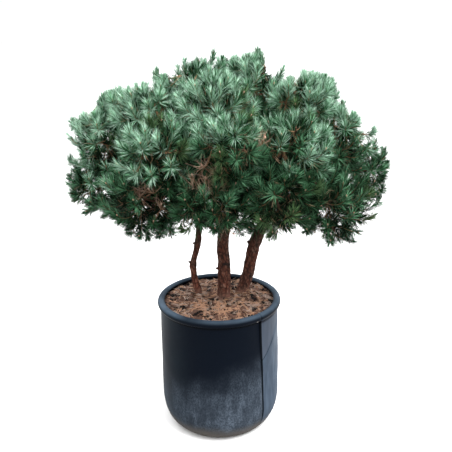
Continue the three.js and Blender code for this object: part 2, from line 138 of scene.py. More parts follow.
# Stems: the course of each runs from the soil up through the crown. A stub's four values are its
# height, the azimuth it points to in degrees, its length and its radius. A root's two values are the
# share by which it swells or narrows the stem and the length over which that dies away.
STEM_TAPER = 1.8
STUB_RISE = 0.35
SCAR_ACROSS = 0.038
SCAR_HEIGHT = 0.738
PLATE_CELL, FINE_PLATE_CELL = (0.0095, 0.0095, 0.017), (0.0042, 0.0042, 0.0065)
Stem = namedtuple("Stem", "name radius tip_radius tip_mass root course stubs")
STEMS = [
    Stem(
        "stem_left", 0.015, 0.008, "top_left", (0.1, 0.032),
        [(-0.087, 0.034, GROUND), (-0.108, 0.034, 0.66), (-0.112, 0.034, 0.722), (-0.096, 0.034, 0.79),
         (-0.081, 0.033, 0.88), (-0.092, 0.028, 1.05), (-0.104, 0.018, 1.2), (-0.092, 0.004, 1.335)],
        [(0.728, 190, 0.016, 0.005), (0.812, 165, 0.013, 0.0045)],
    ),
    Stem(
        "stem_middle", 0.029, 0.009, "peak", (0.04, 0.032),
        [(0.02, 0.012, GROUND), (0.024, 0.012, 0.69), (0.02, 0.012, 0.83), (0.032, 0.012, 0.9),
         (0.062, 0.014, 0.96), (0.096, 0.016, 1.09), (0.126, 0.012, 1.23), (0.15, 0.002, 1.35)],
        [(0.702, 200, 0.02, 0.007), (0.846, 250, 0.018, 0.007)],
    ),
    Stem(
        "stem_right", 0.03, 0.008, "right_top", (-0.22, 0.11),
        [(0.098, 0.066, GROUND), (0.129, 0.066, 0.657), (0.149, 0.066, 0.763), (0.175, 0.064, 0.846),
         (0.212, 0.056, 0.93), (0.25, 0.034, 1.08), (0.284, -0.012, 1.21), (0.308, -0.062, 1.3)],
        [(0.802, 190, 0.012, 0.009), (0.756, 20, 0.013, 0.007)],
    ),
]

# Limbs: what the boughs' curves leave and arrive by, and how finely the courses and the bark are divided
BOUGH_TIP_RADIUS = 0.0065
BOUGH_RISE = 0.55
BEND_SHARE = 0.35
STEM_POINTS, BOUGH_POINTS = 241, 61
STEM_RINGS, STEM_SIDES, BOUGH_RINGS, BOUGH_SIDES = 330, 44, 64, 13
BOUGH_RELIEF = 0.6

# Bark: the shares of the crack depth that plates rise by, fine ones too, how wide cracks are as a share
# of a plate, and the size of the lumps. A stub's girth at its two ends, its rounded end and its lumps.
PLATE_RELIEF, FINE_RELIEF, FINE_CRACK_DEPTH = 0.9, 0.5, 0.4
CRACK_WIDTH, FINE_CRACK_WIDTH, LUMP_CELL = 0.22, 0.2, 0.034
STUB_GIRTHS, STUB_ROUNDED, STUB_ROUND_FROM = (1.9, 0.8), 0.35, 0.85
STUB_LUMP_CELL, STUB_LUMPS = 0.006, 0.7

# Masses of foliage, as in the source of the solids: the middle, the reach, and the stem, height and
# girth of the bough that carries it. Those with no stem sit on a stem's own tip.
HUB = np.array([0.05, 0.02, 0.96])
FLATTEN = 0.92
FOOT_SHARE = 0.72
STEM_OVERRUN = 0.12
CLEARANCE = 0.0003
Mass = namedtuple("Mass", "name middle reach stem height girth", defaults=("", 0.0, 0.0))
MASSES = [
    Mass("left_low", (-0.45, -0.015, 1.082), 0.176, "stem_middle", 0.868, 0.01),
    Mass("left_upper", (-0.446, -0.01, 1.262), 0.174, "stem_left", 1.085, 0.009),
    Mass("left_front_low", (-0.275, -0.3, 1.1), 0.18, "stem_left", 0.985, 0.009),
    Mass("left_front_mid", (-0.195, -0.36, 1.275), 0.17, "stem_left", 1.04, 0.009),
    Mass("left_peak", (-0.41, 0.065, 1.392), 0.135, "stem_left", 1.15, 0.008),
    Mass("upper_left", (-0.245, -0.13, 1.38), 0.165, "stem_left", 1.215, 0.008),
    Mass("top_left", (-0.085, 0.0, 1.45), 0.17),
    Mass("peak", (0.155, -0.005, 1.48), 0.16),
    Mass("front_upper", (-0.005, -0.245, 1.41), 0.17, "stem_middle", 1.2, 0.009),
    Mass("front_mid", (0.045, -0.425, 1.305), 0.155, "stem_middle", 1.075, 0.009),
    Mass("front_low", (-0.015, -0.42, 1.125), 0.17, "stem_middle", 0.965, 0.009),
    Mass("right_front_low", (0.215, -0.405, 1.12), 0.17, "stem_right", 0.93, 0.009),
    Mass("right_front_mid", (0.27, -0.34, 1.29), 0.165, "stem_right", 1.045, 0.009),
    Mass("right_low", (0.435, -0.255, 1.055), 0.18, "stem_right", 0.89, 0.01),
    Mass("far_right", (0.545, 0.025, 1.105), 0.176, "stem_right", 0.975, 0.01),
    Mass("right_upper", (0.475, -0.08, 1.265), 0.175, "stem_right", 1.1, 0.009),
    Mass("right_top", (0.325, -0.09, 1.425), 0.145),
    Mass("right_top_back", (0.385, 0.14, 1.4), 0.16, "stem_right", 1.15, 0.008),
    Mass("back_left_low", (-0.36, 0.31, 1.105), 0.18, "stem_left", 0.955, 0.009),
    Mass("back_left", (-0.235, 0.28, 1.32), 0.18, "stem_left", 1.115, 0.009),
    Mass("back_low", (-0.08, 0.43, 1.115), 0.175, "stem_middle", 0.99, 0.009),
    Mass("back_mid", (0.02, 0.375, 1.325), 0.175, "stem_middle", 1.11, 0.009),
    Mass("back_right_low", (0.21, 0.42, 1.105), 0.175, "stem_right", 0.95, 0.009),
    Mass("back_right", (0.26, 0.32, 1.325), 0.175, "stem_right", 1.075, 0.009),
    Mass("back_far_right", (0.45, 0.285, 1.145), 0.175, "stem_right", 1.015, 0.009),
    Mass("back_top", (0.06, 0.18, 1.46), 0.165, "stem_middle", 1.235, 0.008),
]
MIDDLES = np.array([mass.middle for mass in MASSES])
REACHES = np.array([mass.reach for mass in MASSES])

# The rule by which buds are dealt out over a mass, as in the source of the solids
TILT_STRIDE = 0.7549
TURN_STRIDE = 0.5698
NARROWEST = np.radians(22)
WIDEST = np.radians(125)
LOW_PULL, HIGH_PULL = -0.12, 0.35
LOW_HEIGHT, HIGH_HEIGHT = 1.08, 1.4
LOWEST_BUD, HIGHEST_BUD = 0.4, 0.95
SHORTENINGS = (1.0, 0.88, 0.76, 0.64, 0.52)
LENGTH_VARIATION = 0.1
LENGTH_DRAWS = 3
SPRAYS_PER_MASS = 8
MAIN_BUDS = 40
BUDS_PER_MASS = 300
SPRAY_SPACING = np.radians(39)
SPRAY_MARGIN = 0.012
SHOOT_OVERLAP = 0.028
SPRAY_SHARE = 0.6

# Stage: a wide floor, a broad lamp from high on the right and in front, and the sensor's width in
# millimetres
FLOOR_CORNERS = np.array([(-1, -1), (1, -1), (1, 1), (-1, 1)])
FLOOR_HALF = 200.0
LAMP_ANGLE = np.radians(28)
LAMP_TURN = (np.radians(20), np.radians(24), 0)
SENSOR_WIDTH = 36.0

# Sky: how far below the horizon it is darkest, and the ranges across and upward over which the darker
# left side fades into the rest
BELOW_FROM, LEFT_RANGE, HEDGE_RANGE = -0.25, (-0.75, -0.4), (0.25, 0.6)

# Directions, turns, and the strides that tell one lattice corner from another
UP = np.array([0.0, 0.0, 1.0])
FULL_TURN = 2 * np.pi
GOLDEN_TURN = np.pi * (3 - np.sqrt(5))
ODD_WAY = np.array([-0.31, -0.87, -0.39])
LATTICE = np.array([1.0, 57.31, 113.97])


# Arrays


def chance(seed, k):
    """The same fraction between 0 and 1 for the same pair of numbers: the far decimals of a sine."""
    wave = np.sin(np.asarray(seed) * 12.9898 + np.asarray(k) * 78.233) * 43758.5453
    return wave - np.floor(wave)


def stray(seed, k, span):
    """A seeded amount that lies up to half a span either side of nothing."""
    return (chance(seed, k) - 0.5) * span


def mix(a, b, share):
    """The value that lies a share of the way from a to b."""
    return a + (b - a) * share


def ease(low, high, value):
    """0 below low, 1 above high, and between them a curve that leaves and arrives level."""
    share = np.clip((value - low) / (high - low), 0, 1)
    return share * share * (3 - 2 * share)


def bell(away, width):
    """A bell curve: 1 in the middle, and a little over a third at its width."""
    return np.exp(-((away / width) ** 2))


def unit(vectors):
    """Vectors of length one in the same directions."""
    return vectors / np.maximum(np.linalg.norm(vectors, axis=-1, keepdims=True), 1e-12)


def square_to(fixed, ahead):
    """Two directions that are square to one ahead and to each other, the first square to a fixed one."""
    side = unit(np.cross(fixed, ahead))
    return side, np.cross(ahead, side)


def polar(radius, azimuth, height):
    """Points at a radius, an azimuth and a height round the pot's axis."""
    return np.stack(np.broadcast_arrays(radius * np.cos(azimuth), radius * np.sin(azimuth), height), axis=-1)


def even(points, count):
    """The same path with points spaced evenly along it, found by interpolating over its length."""
    steps = np.linalg.norm(np.diff(points, axis=0), axis=1)
    reached = np.concatenate([[0], np.cumsum(steps)])
    places = np.linspace(0, reached[-1], count)
    return np.stack([np.interp(places, reached, points[:, axis]) for axis in range(3)], axis=1)


def along(points, shares):
    """Points at shares of the length of an evenly spaced path, mixed from its two nearest points."""
    place = np.clip(shares, 0, 1) * (len(points) - 1)
    low = np.minimum(place.astype(int), len(points) - 2)
    rest = (place - low)[..., None]
    return points[low] * (1 - rest) + points[low + 1] * rest


def bezier(corners, shares):
    """A Bezier curve: each new row of points is mixed from neighbours of the last by the same share."""
    rows = [np.asarray(corner)[..., None, :] for corner in corners]
    share = np.asarray(shares)[..., None]
    while len(rows) > 1:
        rows = [mix(a, b, share) for a, b in zip(rows, rows[1:])]
    return rows[0]


def turned(side, up, turn):
    """The direction that lies a turn away from side, towards up."""
    return side * np.cos(turn)[..., None] + up * np.sin(turn)[..., None]


def smooth_course(course, steps=40):
    """A centripetal Catmull-Rom curve: between two points of the course it is a cubic, whose end slopes
    come from the neighbouring points, weighed by the square roots of the distances between them."""
    points = np.array(course)
    padded = np.vstack([2 * points[0] - points[1], points, 2 * points[-1] - points[-2]])
    p0, p1, p2, p3 = padded[:-3], padded[1:-2], padded[2:-1], padded[3:]
    pairs = ((p0, p1), (p1, p2), (p2, p3))
    d0, d1, d2 = (np.sqrt(np.linalg.norm(b - a, axis=1))[:, None] for a, b in pairs)
    leave = ((p1 - p0) / d0 - (p2 - p0) / (d0 + d1) + (p2 - p1) / d1) * d1
    arrive = ((p2 - p1) / d1 - (p3 - p1) / (d1 + d2) + (p3 - p2) / d2) * d1
    t = np.linspace(0, 1, steps)[None, :, None]
    p1, p2, leave, arrive = (row[:, None, :] for row in (p1, p2, leave, arrive))
    curve = (p1 + leave * t + (3 * (p2 - p1) - 2 * leave - arrive) * t**2
             + (2 * (p1 - p2) + leave + arrive) * t**3)
    return curve.reshape(-1, 3)[np.r_[True, np.arange(1, curve.shape[0] * steps) % steps != 0]]


def soft_noise(points, cell, seed=0):
    """Smooth noise from 0 to 1: the corners of the lattice cell round a point each hold a seeded
    fraction, and the point takes their mean, weighed by eased shares of its place in the cell."""
    place = points / cell
    base = np.floor(place)
    share = ease(0, 1, place - base)
    total = np.zeros(place.shape[:-1])
    for corner in product((0, 1), repeat=3):
        weight = np.prod(np.where(corner, share, 1 - share), axis=-1)
        total += weight * chance((base + corner) @ LATTICE, seed)
    return total


def sway(points, cell, seed):
    """Smooth noise that lies up to a half either side of nothing."""
    return soft_noise(points, cell, seed) - 0.5


def plates(points, cell, seed=0):
    """Flakes: each cell of a lattice holds one seeded point. The first value is how much further the
    second nearest of these is than the nearest, in cells, and the second the nearest one's fraction."""
    place = points / cell
    base = np.floor(place)
    first = np.full(place.shape[:-1], 9.0)
    second = first.copy()
    mark = np.zeros_like(first)
    for step in product((-1, 0, 1), repeat=3):
        code = (base + step) @ LATTICE
        seat = base + step + np.stack([chance(code, seed + axis) for axis in (1, 2, 3)], axis=-1)
        away = np.linalg.norm(place - seat, axis=-1)
        nearer = away < first
        second = np.where(nearer, first, np.minimum(second, away))
        mark = np.where(nearer, chance(code, seed + 4), mark)
        first = np.minimum(first, away)
    return second - first, mark


# Surfaces


def skin(rings):
    """Closed surfaces over stacks of rings, an array of stack, ring, corner and axis: quads join each
    ring to the next, and a fan closes each end on a pole, the mean of its ring's corners. A ring's
    corners run counterclockwise as seen from further along the stack."""
    stacks, count, sides, _ = rings.shape
    poles = rings[:, [0, -1]].mean(axis=2)
    corners = np.concatenate([rings.reshape(stacks, -1, 3), poles], axis=1)
    start = (np.arange(stacks) * (count * sides + 2))[:, None, None]
    side = np.arange(sides)
    after = (side + 1) % sides
    low = (np.arange(count - 1) * sides)[:, None]
    quads = np.stack([low + side, low + after, low + sides + after, low + sides + side], axis=-1)
    quads = quads.reshape(1, -1, 4) + start
    last = (count - 1) * sides
    foot = np.stack([after, side, np.full(sides, count * sides)], axis=-1)
    head = np.stack([last + side, last + after, np.full(sides, count * sides + 1)], axis=-1)
    fans = np.concatenate([foot, head])[None] + start
    return corners.reshape(-1, 3), [quads.reshape(-1, 4), fans.reshape(-1, 3)]


def tube_rings(paths, radii, sides):
    """Rings round paths, an array of path, point and axis: each corner lies its path point's radius
    away, square to the path, at even angles from a side that is square to a fixed axis too."""
    ahead = unit(np.gradient(paths, axis=1))
    chord = np.abs(paths[:, -1] - paths[:, 0])
    side, up = square_to(np.eye(3)[np.argmin(chord, axis=1)][:, None, :], ahead)
    out = turned(side[:, :, None], up[:, :, None], np.arange(sides) * FULL_TURN / sides)
    return paths[:, :, None] + out * np.asarray(radii)[..., None, None], out


def tubes(paths, radii, sides):
    """Closed tubes along paths, with the same radii along each."""
    return skin(tube_rings(paths, radii, sides)[0])


def blades(base, tip, across, up, width, thickness, widest, bow=0.0):
    """Needles of four triangles: each is a kite from base to tip, as wide as its width at the share
    widest of its length, folded along its middle by its thickness and bowed upward by its bow."""
    middle = mix(base, tip, widest) + up * np.asarray(bow)[..., None]
    half = across * np.asarray(width)[..., None] / 2
    fold = up * np.asarray(thickness)[..., None]
    corners = np.stack([base, tip, middle + half + fold, middle - half + fold], axis=-2).reshape(-1, 3)
    kite = np.array([[0, 1, 2], [1, 0, 3], [0, 2, 3], [1, 3, 2]])
    count = len(corners) // 4
    return corners, (np.arange(count)[:, None, None] * 4 + kite).reshape(-1, 3)


def join(parts):
    """One surface from several: their corners in a row, with each one's faces counted on from the last."""
    corners, faces, start = [], [], 0
    for points, groups in parts:
        corners.append(points)
        faces.extend(group + start for group in groups)
        start += len(points)
    return np.concatenate(corners), faces


def make_piece(name, surface, materials, stands_for=(), deal=None, smooth=None):
    """Puts a surface's arrays into a mesh object that rides on the plant's body. The materials are
    dealt to the faces by index, and edges sharper than the smooth angle, in degrees, stay sharp."""
    corners, faces = surface
    sizes = np.concatenate([np.full(len(group), group.shape[1]) for group in faces])
    loops = np.concatenate([group.ravel() for group in faces])
    mesh = bpy.data.meshes.new(name)
    mesh.vertices.add(len(corners))
    mesh.vertices.foreach_set("co", np.ascontiguousarray(corners, np.float32).ravel())
    mesh.loops.add(len(loops))
    mesh.loops.foreach_set("vertex_index", loops.astype(np.int32))
    mesh.polygons.add(len(sizes))
    mesh.polygons.foreach_set("loop_start", np.concatenate([[0], np.cumsum(sizes)[:-1]]).astype(np.int32))
    for material in materials:
        mesh.materials.append(material)
    if deal is not None:
        mesh.polygons.foreach_set("material_index", deal.astype(np.int32))
    mesh.polygons.foreach_set("use_smooth", np.full(len(sizes), smooth is not None))
    mesh.update(calc_edges=True)
    if smooth is not None:
        mesh.set_sharp_from_angle(angle=np.radians(smooth))
    piece = bpy.data.objects.new(name, mesh)
    bpy.context.scene.collection.objects.link(piece)
    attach(piece, BODY)
    if stands_for:
        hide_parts(*stands_for)
    return piece


# Materials


def shade(red, green, blue):
    """A colour as the shader counts it, from the three values that a screen shows, up to 255."""
    screen = np.array([red, green, blue]) / 255
    linear = np.where(screen <= 0.04045, screen / 12.92, ((screen + 0.055) / 1.055) ** 2.4)
    return tuple(float(value) for value in linear)


class Pattern:
    """A node tree while it is filled, and the places that its pattern reads. Each method adds nodes and
    returns the socket that carries their result."""

    def __init__(self, tree, places):
        self.tree = tree
        self.places = self.add("ShaderNodeTexCoord").outputs[places]

    def add(self, kind, inputs=None, **settings):
        """A node with settings, and with each of its inputs set to a value or joined to a socket."""
        node = self.tree.nodes.new(kind)
        for key, value in settings.items():
            setattr(node, key, value)
        for key, value in (inputs or {}).items():
            if isinstance(value, bpy.types.NodeSocket):
                self.tree.links.new(value, node.inputs[key])
            else:
                node.inputs[key].default_value = value
        return node

    def axes(self):
        """The places' three coordinates."""
        return self.add("ShaderNodeSeparateXYZ", {0: self.places}).outputs

    def maths(self, operation, first, second=0.0, third=0.0):
        """One sum of numbers."""
        return self.add("ShaderNodeMath", {0: first, 1: second, 2: third}, operation=operation).outputs[0]

    def times(self, first, second):
        """One number times another."""
        return self.maths("MULTIPLY", first, second)

    def scaled(self, value, factor, offset):
        """A number times a factor, plus an offset."""
        return self.maths("MULTIPLY_ADD", value, factor, offset)

    def off(self, value, middle):
        """How far a number lies from a middle."""
        return self.maths("ABSOLUTE", self.maths("SUBTRACT", value, middle))

    def rise(self, value, low, high, start=0.0, end=1.0):
        """A number carried from one span to another by a curve that leaves and arrives level."""
        spans = {"Value": value, "From Min": low, "From Max": high, "To Min": start, "To Max": end}
        return self.add("ShaderNodeMapRange", spans, interpolation_type="SMOOTHSTEP").outputs["Result"]

    def fall(self, value, low, high, start=1.0, end=0.0):
        """The same curve, but downward."""
        return self.rise(value, low, high, start, end)

    def layers(self, colour, *coats):
        """A colour under coats, each of which goes the way to its own colour by its share."""
        for share, coat in coats:
            node = self.add("ShaderNodeMix", {0: share}, data_type="RGBA")
            for socket, value in ((node.inputs[6], colour), (node.inputs[7], coat)):
                if isinstance(value, bpy.types.NodeSocket):
                    self.tree.links.new(value, socket)
                else:
                    socket.default_value = (*value[:3], 1.0)
            colour = node.outputs[2]
        return colour

    def stretched(self, stretch):
        """The places, stretched along the axes."""
        return self.add("ShaderNodeMapping", {"Vector": self.places, "Scale": stretch}).outputs[0]

    def speckle(self, scale, detail=4.0, rough=0.6, stretch=(1.0, 1.0, 1.0)):
        """Noise from 0 to 1 over stretched places."""
        wanted = {"Vector": self.stretched(stretch), "Scale": scale, "Detail": detail, "Roughness": rough}
        return self.add("ShaderNodeTexNoise", wanted).outputs["Fac"]


def plain_material(name, colour, roughness, gloss=0.5):
    """A material of one even colour."""
    material = bpy.data.materials.new(name)
    material.use_nodes = True
    shader = material.node_tree.nodes["Principled BSDF"]
    shader.inputs["Base Color"].default_value = (*colour[:3], 1.0)
    shader.inputs["Roughness"].default_value = roughness
    shader.inputs["Specular IOR Level"].default_value = gloss
    material.diffuse_color = (*colour[:3], 1.0)
    return material


def patterned_material(name, gloss):
    """A new material, and the pattern that its tree is to hold."""
    material = plain_material(name, (0.5, 0.5, 0.5), 0.5, gloss)
    return material, Pattern(material.node_tree, "Object")


def finish(material, pattern, colour, roughness, height, depth, share):
    """Joins a pattern's colour, roughness and relief to its material's shader."""
    inputs = material.node_tree.nodes["Principled BSDF"].inputs
    bump = pattern.add("ShaderNodeBump", {"Height": height, "Distance": depth, "Strength": share})
    sockets = {"Base Color": colour, "Roughness": roughness, "Normal": bump.outputs["Normal"]}
    for name, socket in sockets.items():
        pattern.tree.links.new(socket, inputs[name])
    return material


def pot_material(settings):
    """Dark plastic: near black high on the front, greyer and scuffed lower down, dusty at the foot,
    with the lapped panel past the seam painted paler as a painted reflection, painted shadow under the
    lip, along the seam and along the crease, and a painted highlight along the rolled lip."""
    material, pattern = patterned_material("scuffed_dark_plastic", 0.025)
    times, scaled, rise, fall = pattern.times, pattern.scaled, pattern.rise, pattern.fall
    across, away, height = pattern.axes()
    slant = scaled(height, float(SEAM_SLANT) / POT_HEIGHT, -float(SEAM_AZIMUTH + SEAM_SLANT))
    past = pattern.maths("ADD", pattern.maths("ARCTAN2", away, across), slant)
    cloud = pattern.speckle(5.0, detail=3.0)
    patches = pattern.speckle(11.0, stretch=(1.0, 1.0, 0.7))
    streaks = pattern.speckle(30.0, detail=5.0, stretch=(1.0, 1.0, 0.22))
    grit = pattern.speckle(170.0, rough=0.75, stretch=(1.0, 1.0, 0.6))

    left = times(fall(across, -0.22, -0.1), fall(away, -0.05, 0.1, 1.0, 0.3))
    faded = times(left, rise(cloud, 0.3, 0.65, 0.35))
    scuff = times(rise(streaks, 0.3, 0.7, 0.4), rise(grit, 0.4, 0.6, 0.3))
    scuff = times(scuff, rise(patches, 0.36, 0.62, 0.35))
    lower_right = scaled(across, -0.35, height)
    worn = times(scaled(scuff, 0.85, 0.12), fall(scaled(cloud, 0.2, lower_right), 0.2, 0.5))

    crease = scaled(past, -CREASE_SLOPE, height)
    stain = times(rise(crease, CREASE_FOOT - 0.006, CREASE_FOOT + 0.012, 0.0, 0.62), fall(past, 0.3, 0.6))
    # Painted shadow: a dark line along the crease of the lapped panel
    line = times(fall(pattern.off(crease, CREASE_FOOT - 0.002), 0.001, 0.006, 0.6), fall(past, 0.25, 0.4))
    # Past the seam the lapped panel is painted paler, a painted reflection of the bright surroundings, with
    # lighter streaks in it; the brown stain above the crease is real, the dark crease line painted shadow
    panel_reflection_stain_and_shadow = pattern.layers(
        settings.panel, (rise(streaks, 0.3, 0.75), settings.panel_light), (stain, settings.stain),
        (line, settings.shadow),
    )
    # Where the painted reflection lies: past the seam, fading round the pot, below the lip
    panel = times(pattern.maths("GREATER_THAN", past, -0.002), fall(past, 0.9, 1.6))
    panel = times(panel, fall(height, UNDER_LIP, UNDER_LIP + 0.01))

    # Painted shadow: a dark line along the seam, where the lapped step stands proud
    waver = scaled(streaks, 0.012, past)
    gap = times(fall(pattern.off(waver, 0.002), 0.003, 0.015, 0.85), rise(height, 0.05, 0.11))
    # Painted shadow: a dark band all round just under the rolled lip
    under = times(rise(height, 0.542, 0.552), fall(height, UNDER_LIP, UNDER_LIP + 0.006))
    near_foot = fall(scaled(cloud, 0.06, height), 0.05, 0.125, 0.85)
    # Painted highlight along the top of the rolled lip, strongest at the left and right
    lip_highlight = times(rise(height, 0.571, 0.586), rise(cloud, 0.25, 0.7, 0.25))
    lip_highlight = times(lip_highlight, rise(pattern.maths("ABSOLUTE", across), 0.1, 0.24, 0.6))
    plastic = pattern.layers(
        settings.dark, (faded, settings.navy), (worn, settings.scuffed), (panel, panel_reflection_stain_and_shadow),
        (gap, settings.shadow), (times(under, 0.85), settings.shadow), (near_foot, settings.dust),
        (lip_highlight, settings.lip),
    )
    roughness = rise(scaled(cloud, 0.3, worn), 0.0, 1.0, 0.42, 0.75)
    return finish(material, pattern, plastic, roughness, grit, 0.0006, 0.35)


def soil_material(settings):
    """Old mulch: brown crumbs that run from pale to nearly black in the hollows between them, partly the
    soil's own dark and partly painted shade, and painted shade in the pits that lie below its level.
    """
    material, pattern = patterned_material("brown_mulch", 0.2)
    maths, rise = pattern.maths, pattern.rise
    crumbs = pattern.speckle(95.0, detail=6.0, rough=0.7)
    patches = pattern.speckle(14.0)
    across, away, height = pattern.axes()
    radius = maths("POWER", pattern.scaled(across, across, pattern.times(away, away)), 0.5)
    past_flat = maths("MAXIMUM", maths("SUBTRACT", radius, SOIL_FLAT_RADIUS), 0.0)
    # Painted shade: the soil turns to its darkest colour where it lies below its even level, in the pits
    level = pattern.scaled(past_flat, (SOIL_MIDDLE - SOIL_EDGE) / SOIL_FALL_RUN, height)
    deep = pattern.fall(level, SOIL_MIDDLE - 0.009, SOIL_MIDDLE - 0.0035, 0.95)
    colour = pattern.layers(
        settings.dark_soil_and_pit_shade, (rise(crumbs, 0.36, 0.6), settings.crumb),
        (rise(patches, 0.42, 0.66, 0.0, 0.75), settings.pale), (deep, settings.dark_soil_and_pit_shade),
    )
    return finish(material, pattern, colour, rise(crumbs, 0.0, 1.0, 0.95, 0.85), crumbs, 0.004, 0.8)


def bark_material(settings):
    """Flaking bark: reddish brown plates with grey-brown weathering and dark cracks between them, darker
    high up, paler at the foot, and with a dark ring where a branch was cut from the middle stem."""
    material, pattern = patterned_material("flaking_bark", 0.25)
    times, scaled, rise, fall = pattern.times, pattern.scaled, pattern.rise, pattern.fall
    weather = pattern.speckle(16.0, detail=5.0, stretch=(1.0, 1.0, 0.5))
    fibres = pattern.speckle(85.0, detail=5.0, rough=0.72, stretch=(1.0, 1.0, 0.4))
    wanted = {"Vector": pattern.stretched((1.0, 1.0, 0.55)), "Scale": 70.0}
    cracks = pattern.add("ShaderNodeTexVoronoi", wanted, feature="DISTANCE_TO_EDGE")
    crack = fall(cracks.outputs["Distance"], 0.0, 0.18)
    across, _, height = pattern.axes()
    foot = fall(scaled(weather, 0.04, height), 0.59, 0.64, 0.45)
    waver = scaled(weather, 0.08, height)
    ring = fall(pattern.off(waver, SCAR_HEIGHT + 0.04), 0.003, 0.01, 0.9)
    ring = times(ring, fall(pattern.off(across, SCAR_ACROSS), 0.014, 0.024))
    # The bark turns darker high on the stems, from about 0.74 m up
    colour = pattern.layers(
        settings.red, (rise(weather, 0.38, 0.66), settings.grey),
        (fall(fibres, 0.34, 0.56, 0.8), settings.dark), (rise(fibres, 0.52, 0.66, 0.0, 0.75), settings.flake),
        (times(crack, 0.7), settings.dark), (rise(height, 0.74, 0.9, 0.0, 0.55), settings.darker_high_bark),
        (foot, settings.flake), (ring, settings.dark),
    )
    relief = pattern.maths("SUBTRACT", fibres, crack)
    return finish(material, pattern, colour, rise(fibres, 0.0, 1.0, 0.95, 0.8), relief, 0.002, 0.7)


# Settings


def length(name, description, default):
    """A setting that is a length."""
    return FloatProperty(name=name, description=description, default=default, min=0.0, unit="LENGTH")


def bearing(name, description, degrees):
    """A setting that is an angle, given in degrees."""
    return FloatProperty(
        name=name, description=description, default=float(np.radians(degrees)),
        subtype="ANGLE", unit="ROTATION",
    )


def strength(name, description, default):
    """A setting that is a brightness, or a share of one."""
    return FloatProperty(name=name, description=description, default=default, min=0.0)


def number(name, description, default, least=0):
    """A setting that is a count."""
    return IntProperty(name=name, description=description, default=default, min=least)


def tint(name, description, default):
    """A setting that is a colour."""
    return FloatVectorProperty(
        name=name, description=description, default=default, min=0.0, max=1.0, size=3, subtype="COLOR"
    )


class PineStageSettings(PropertyGroup):
    camera_place: FloatVectorProperty(
        name="Camera place", description="Where the camera stands", default=(0.0345, -2.431, 1.67),
        size=3, subtype="TRANSLATION", unit="LENGTH",
    )
    camera_tilt: bearing("Camera tilt", "How far the camera looks down from level", 17.46)
    camera_roll: bearing("Camera roll", "How far the camera is turned about its own line of sight", -0.724)
    focal_length: FloatProperty(
        name="Focal length", description="Focal length in millimetres on a sensor 36 mm wide",
        default=47.79, min=1.0,
    )
    sky_strength: strength("Sky strength", "Brightness of the sky that the camera sees", 1.02)
    horizon_strength: strength("Horizon strength", "Brightness of the light that comes level", 0.75)
    ground_strength: strength("Ground strength", "Share of the light that comes up from below", 0.3)
    left_strength: strength("Left strength", "Share of the light that comes level from the left", 0.25)
    zenith_strength: strength("Zenith strength", "Brightness of the sky overhead", 3.5)
    sun_strength: strength("Lamp strength", "Brightness of the broad lamp overhead", 3.4)
    floor_colour: tint("Floor", "Colour of the floor", (0.8, 0.8, 0.8))


class PinePotSettings(PropertyGroup):
    height: length("Height", "Height of the pot to the top of its lip", POT_HEIGHT)
    dent_depth: length("Dents", "How far the wall strays in and out", 0.0022)
    dark: tint("Dark plastic", "Plastic where it is cleanest", shade(9, 15, 24))
    # Painted shadow, laid under the lip, along the seam and along the crease
    shadow: tint("Painted shadow", "Plastic under the lip and along the seam", shade(4, 6, 9))
    navy: tint("Blue plastic", "Plastic where light has faded it", shade(15, 25, 33))
    scuffed: tint("Scuffed plastic", "Fine scratches and dust low on the wall", shade(104, 116, 130))
    # Colours of the lapped panel past the seam: a painted reflection that makes it paler, with lighter
    # streaks
    panel: tint("Lapped panel", "Plastic past the seam", shade(60, 71, 85))
    panel_light: tint("Faded panel", "Faded streaks past the seam", shade(84, 97, 112))
    stain: tint("Stained panel", "Plastic past the seam, above the crease", shade(74, 80, 91))
    # Painted highlight on the top of the rolled lip
    lip: tint("Painted lip highlight", "Top of the rolled lip", shade(96, 114, 132))
    dust: tint("Dust", "Soil dust at the foot", shade(118, 112, 105))
    rivet: tint("Rivet", "Head of the rivet by the seam", shade(136, 132, 126))


class PineSoilSettings(PropertyGroup):
    relief: length("Relief", "How rough the surface of the soil is", 0.013)
    needle_count: number("Fallen needles", "Needles on the soil", 2600)
    chip_count: number("Bark chips", "Chips of bark on the soil", 1100)
    # Dark soil between the crumbs, and the painted shade of the pits
    dark_soil_and_pit_shade: tint("Hollows", "Soil between the crumbs", shade(16, 11, 9))
    crumb: tint("Crumbs", "Soil crumbs", shade(116, 88, 75))
    pale: tint("Pale crumbs", "Dry crumbs", shade(188, 163, 148))
    fallen: tint("Fallen needles", "Dead needles on the soil", shade(206, 162, 132))
    fallen_grey: tint("Old needles", "Weathered needles on the soil", shade(204, 180, 164))
    chip: tint("Bark chips", "Chips of bark", shade(120, 90, 77))
    chip_dark: tint("Dark chips", "Wet chips of bark", shade(26, 20, 18))


class PineBarkSettings(PropertyGroup):
    crack_depth: length("Crack depth", "Depth of the cracks between the plates of bark", 0.0016)
    lump_depth: length("Lumps", "How far a stem's girth strays from its even taper", 0.0026)
    red: tint("Red bark", "Fresh bark", shade(122, 70, 54))
    grey: tint("Grey bark", "Weathered bark", shade(92, 65, 54))
    flake: tint("Loose flakes", "Edges of loose flakes", shade(158, 122, 106))
    dark: tint("Cracks", "Cracks in the bark", shade(18, 11, 9))
    # A darker bark colour laid high on the stems
    darker_high_bark: tint("Old bark", "Bark darkened by moss, high on the stems", shade(50, 39, 31))


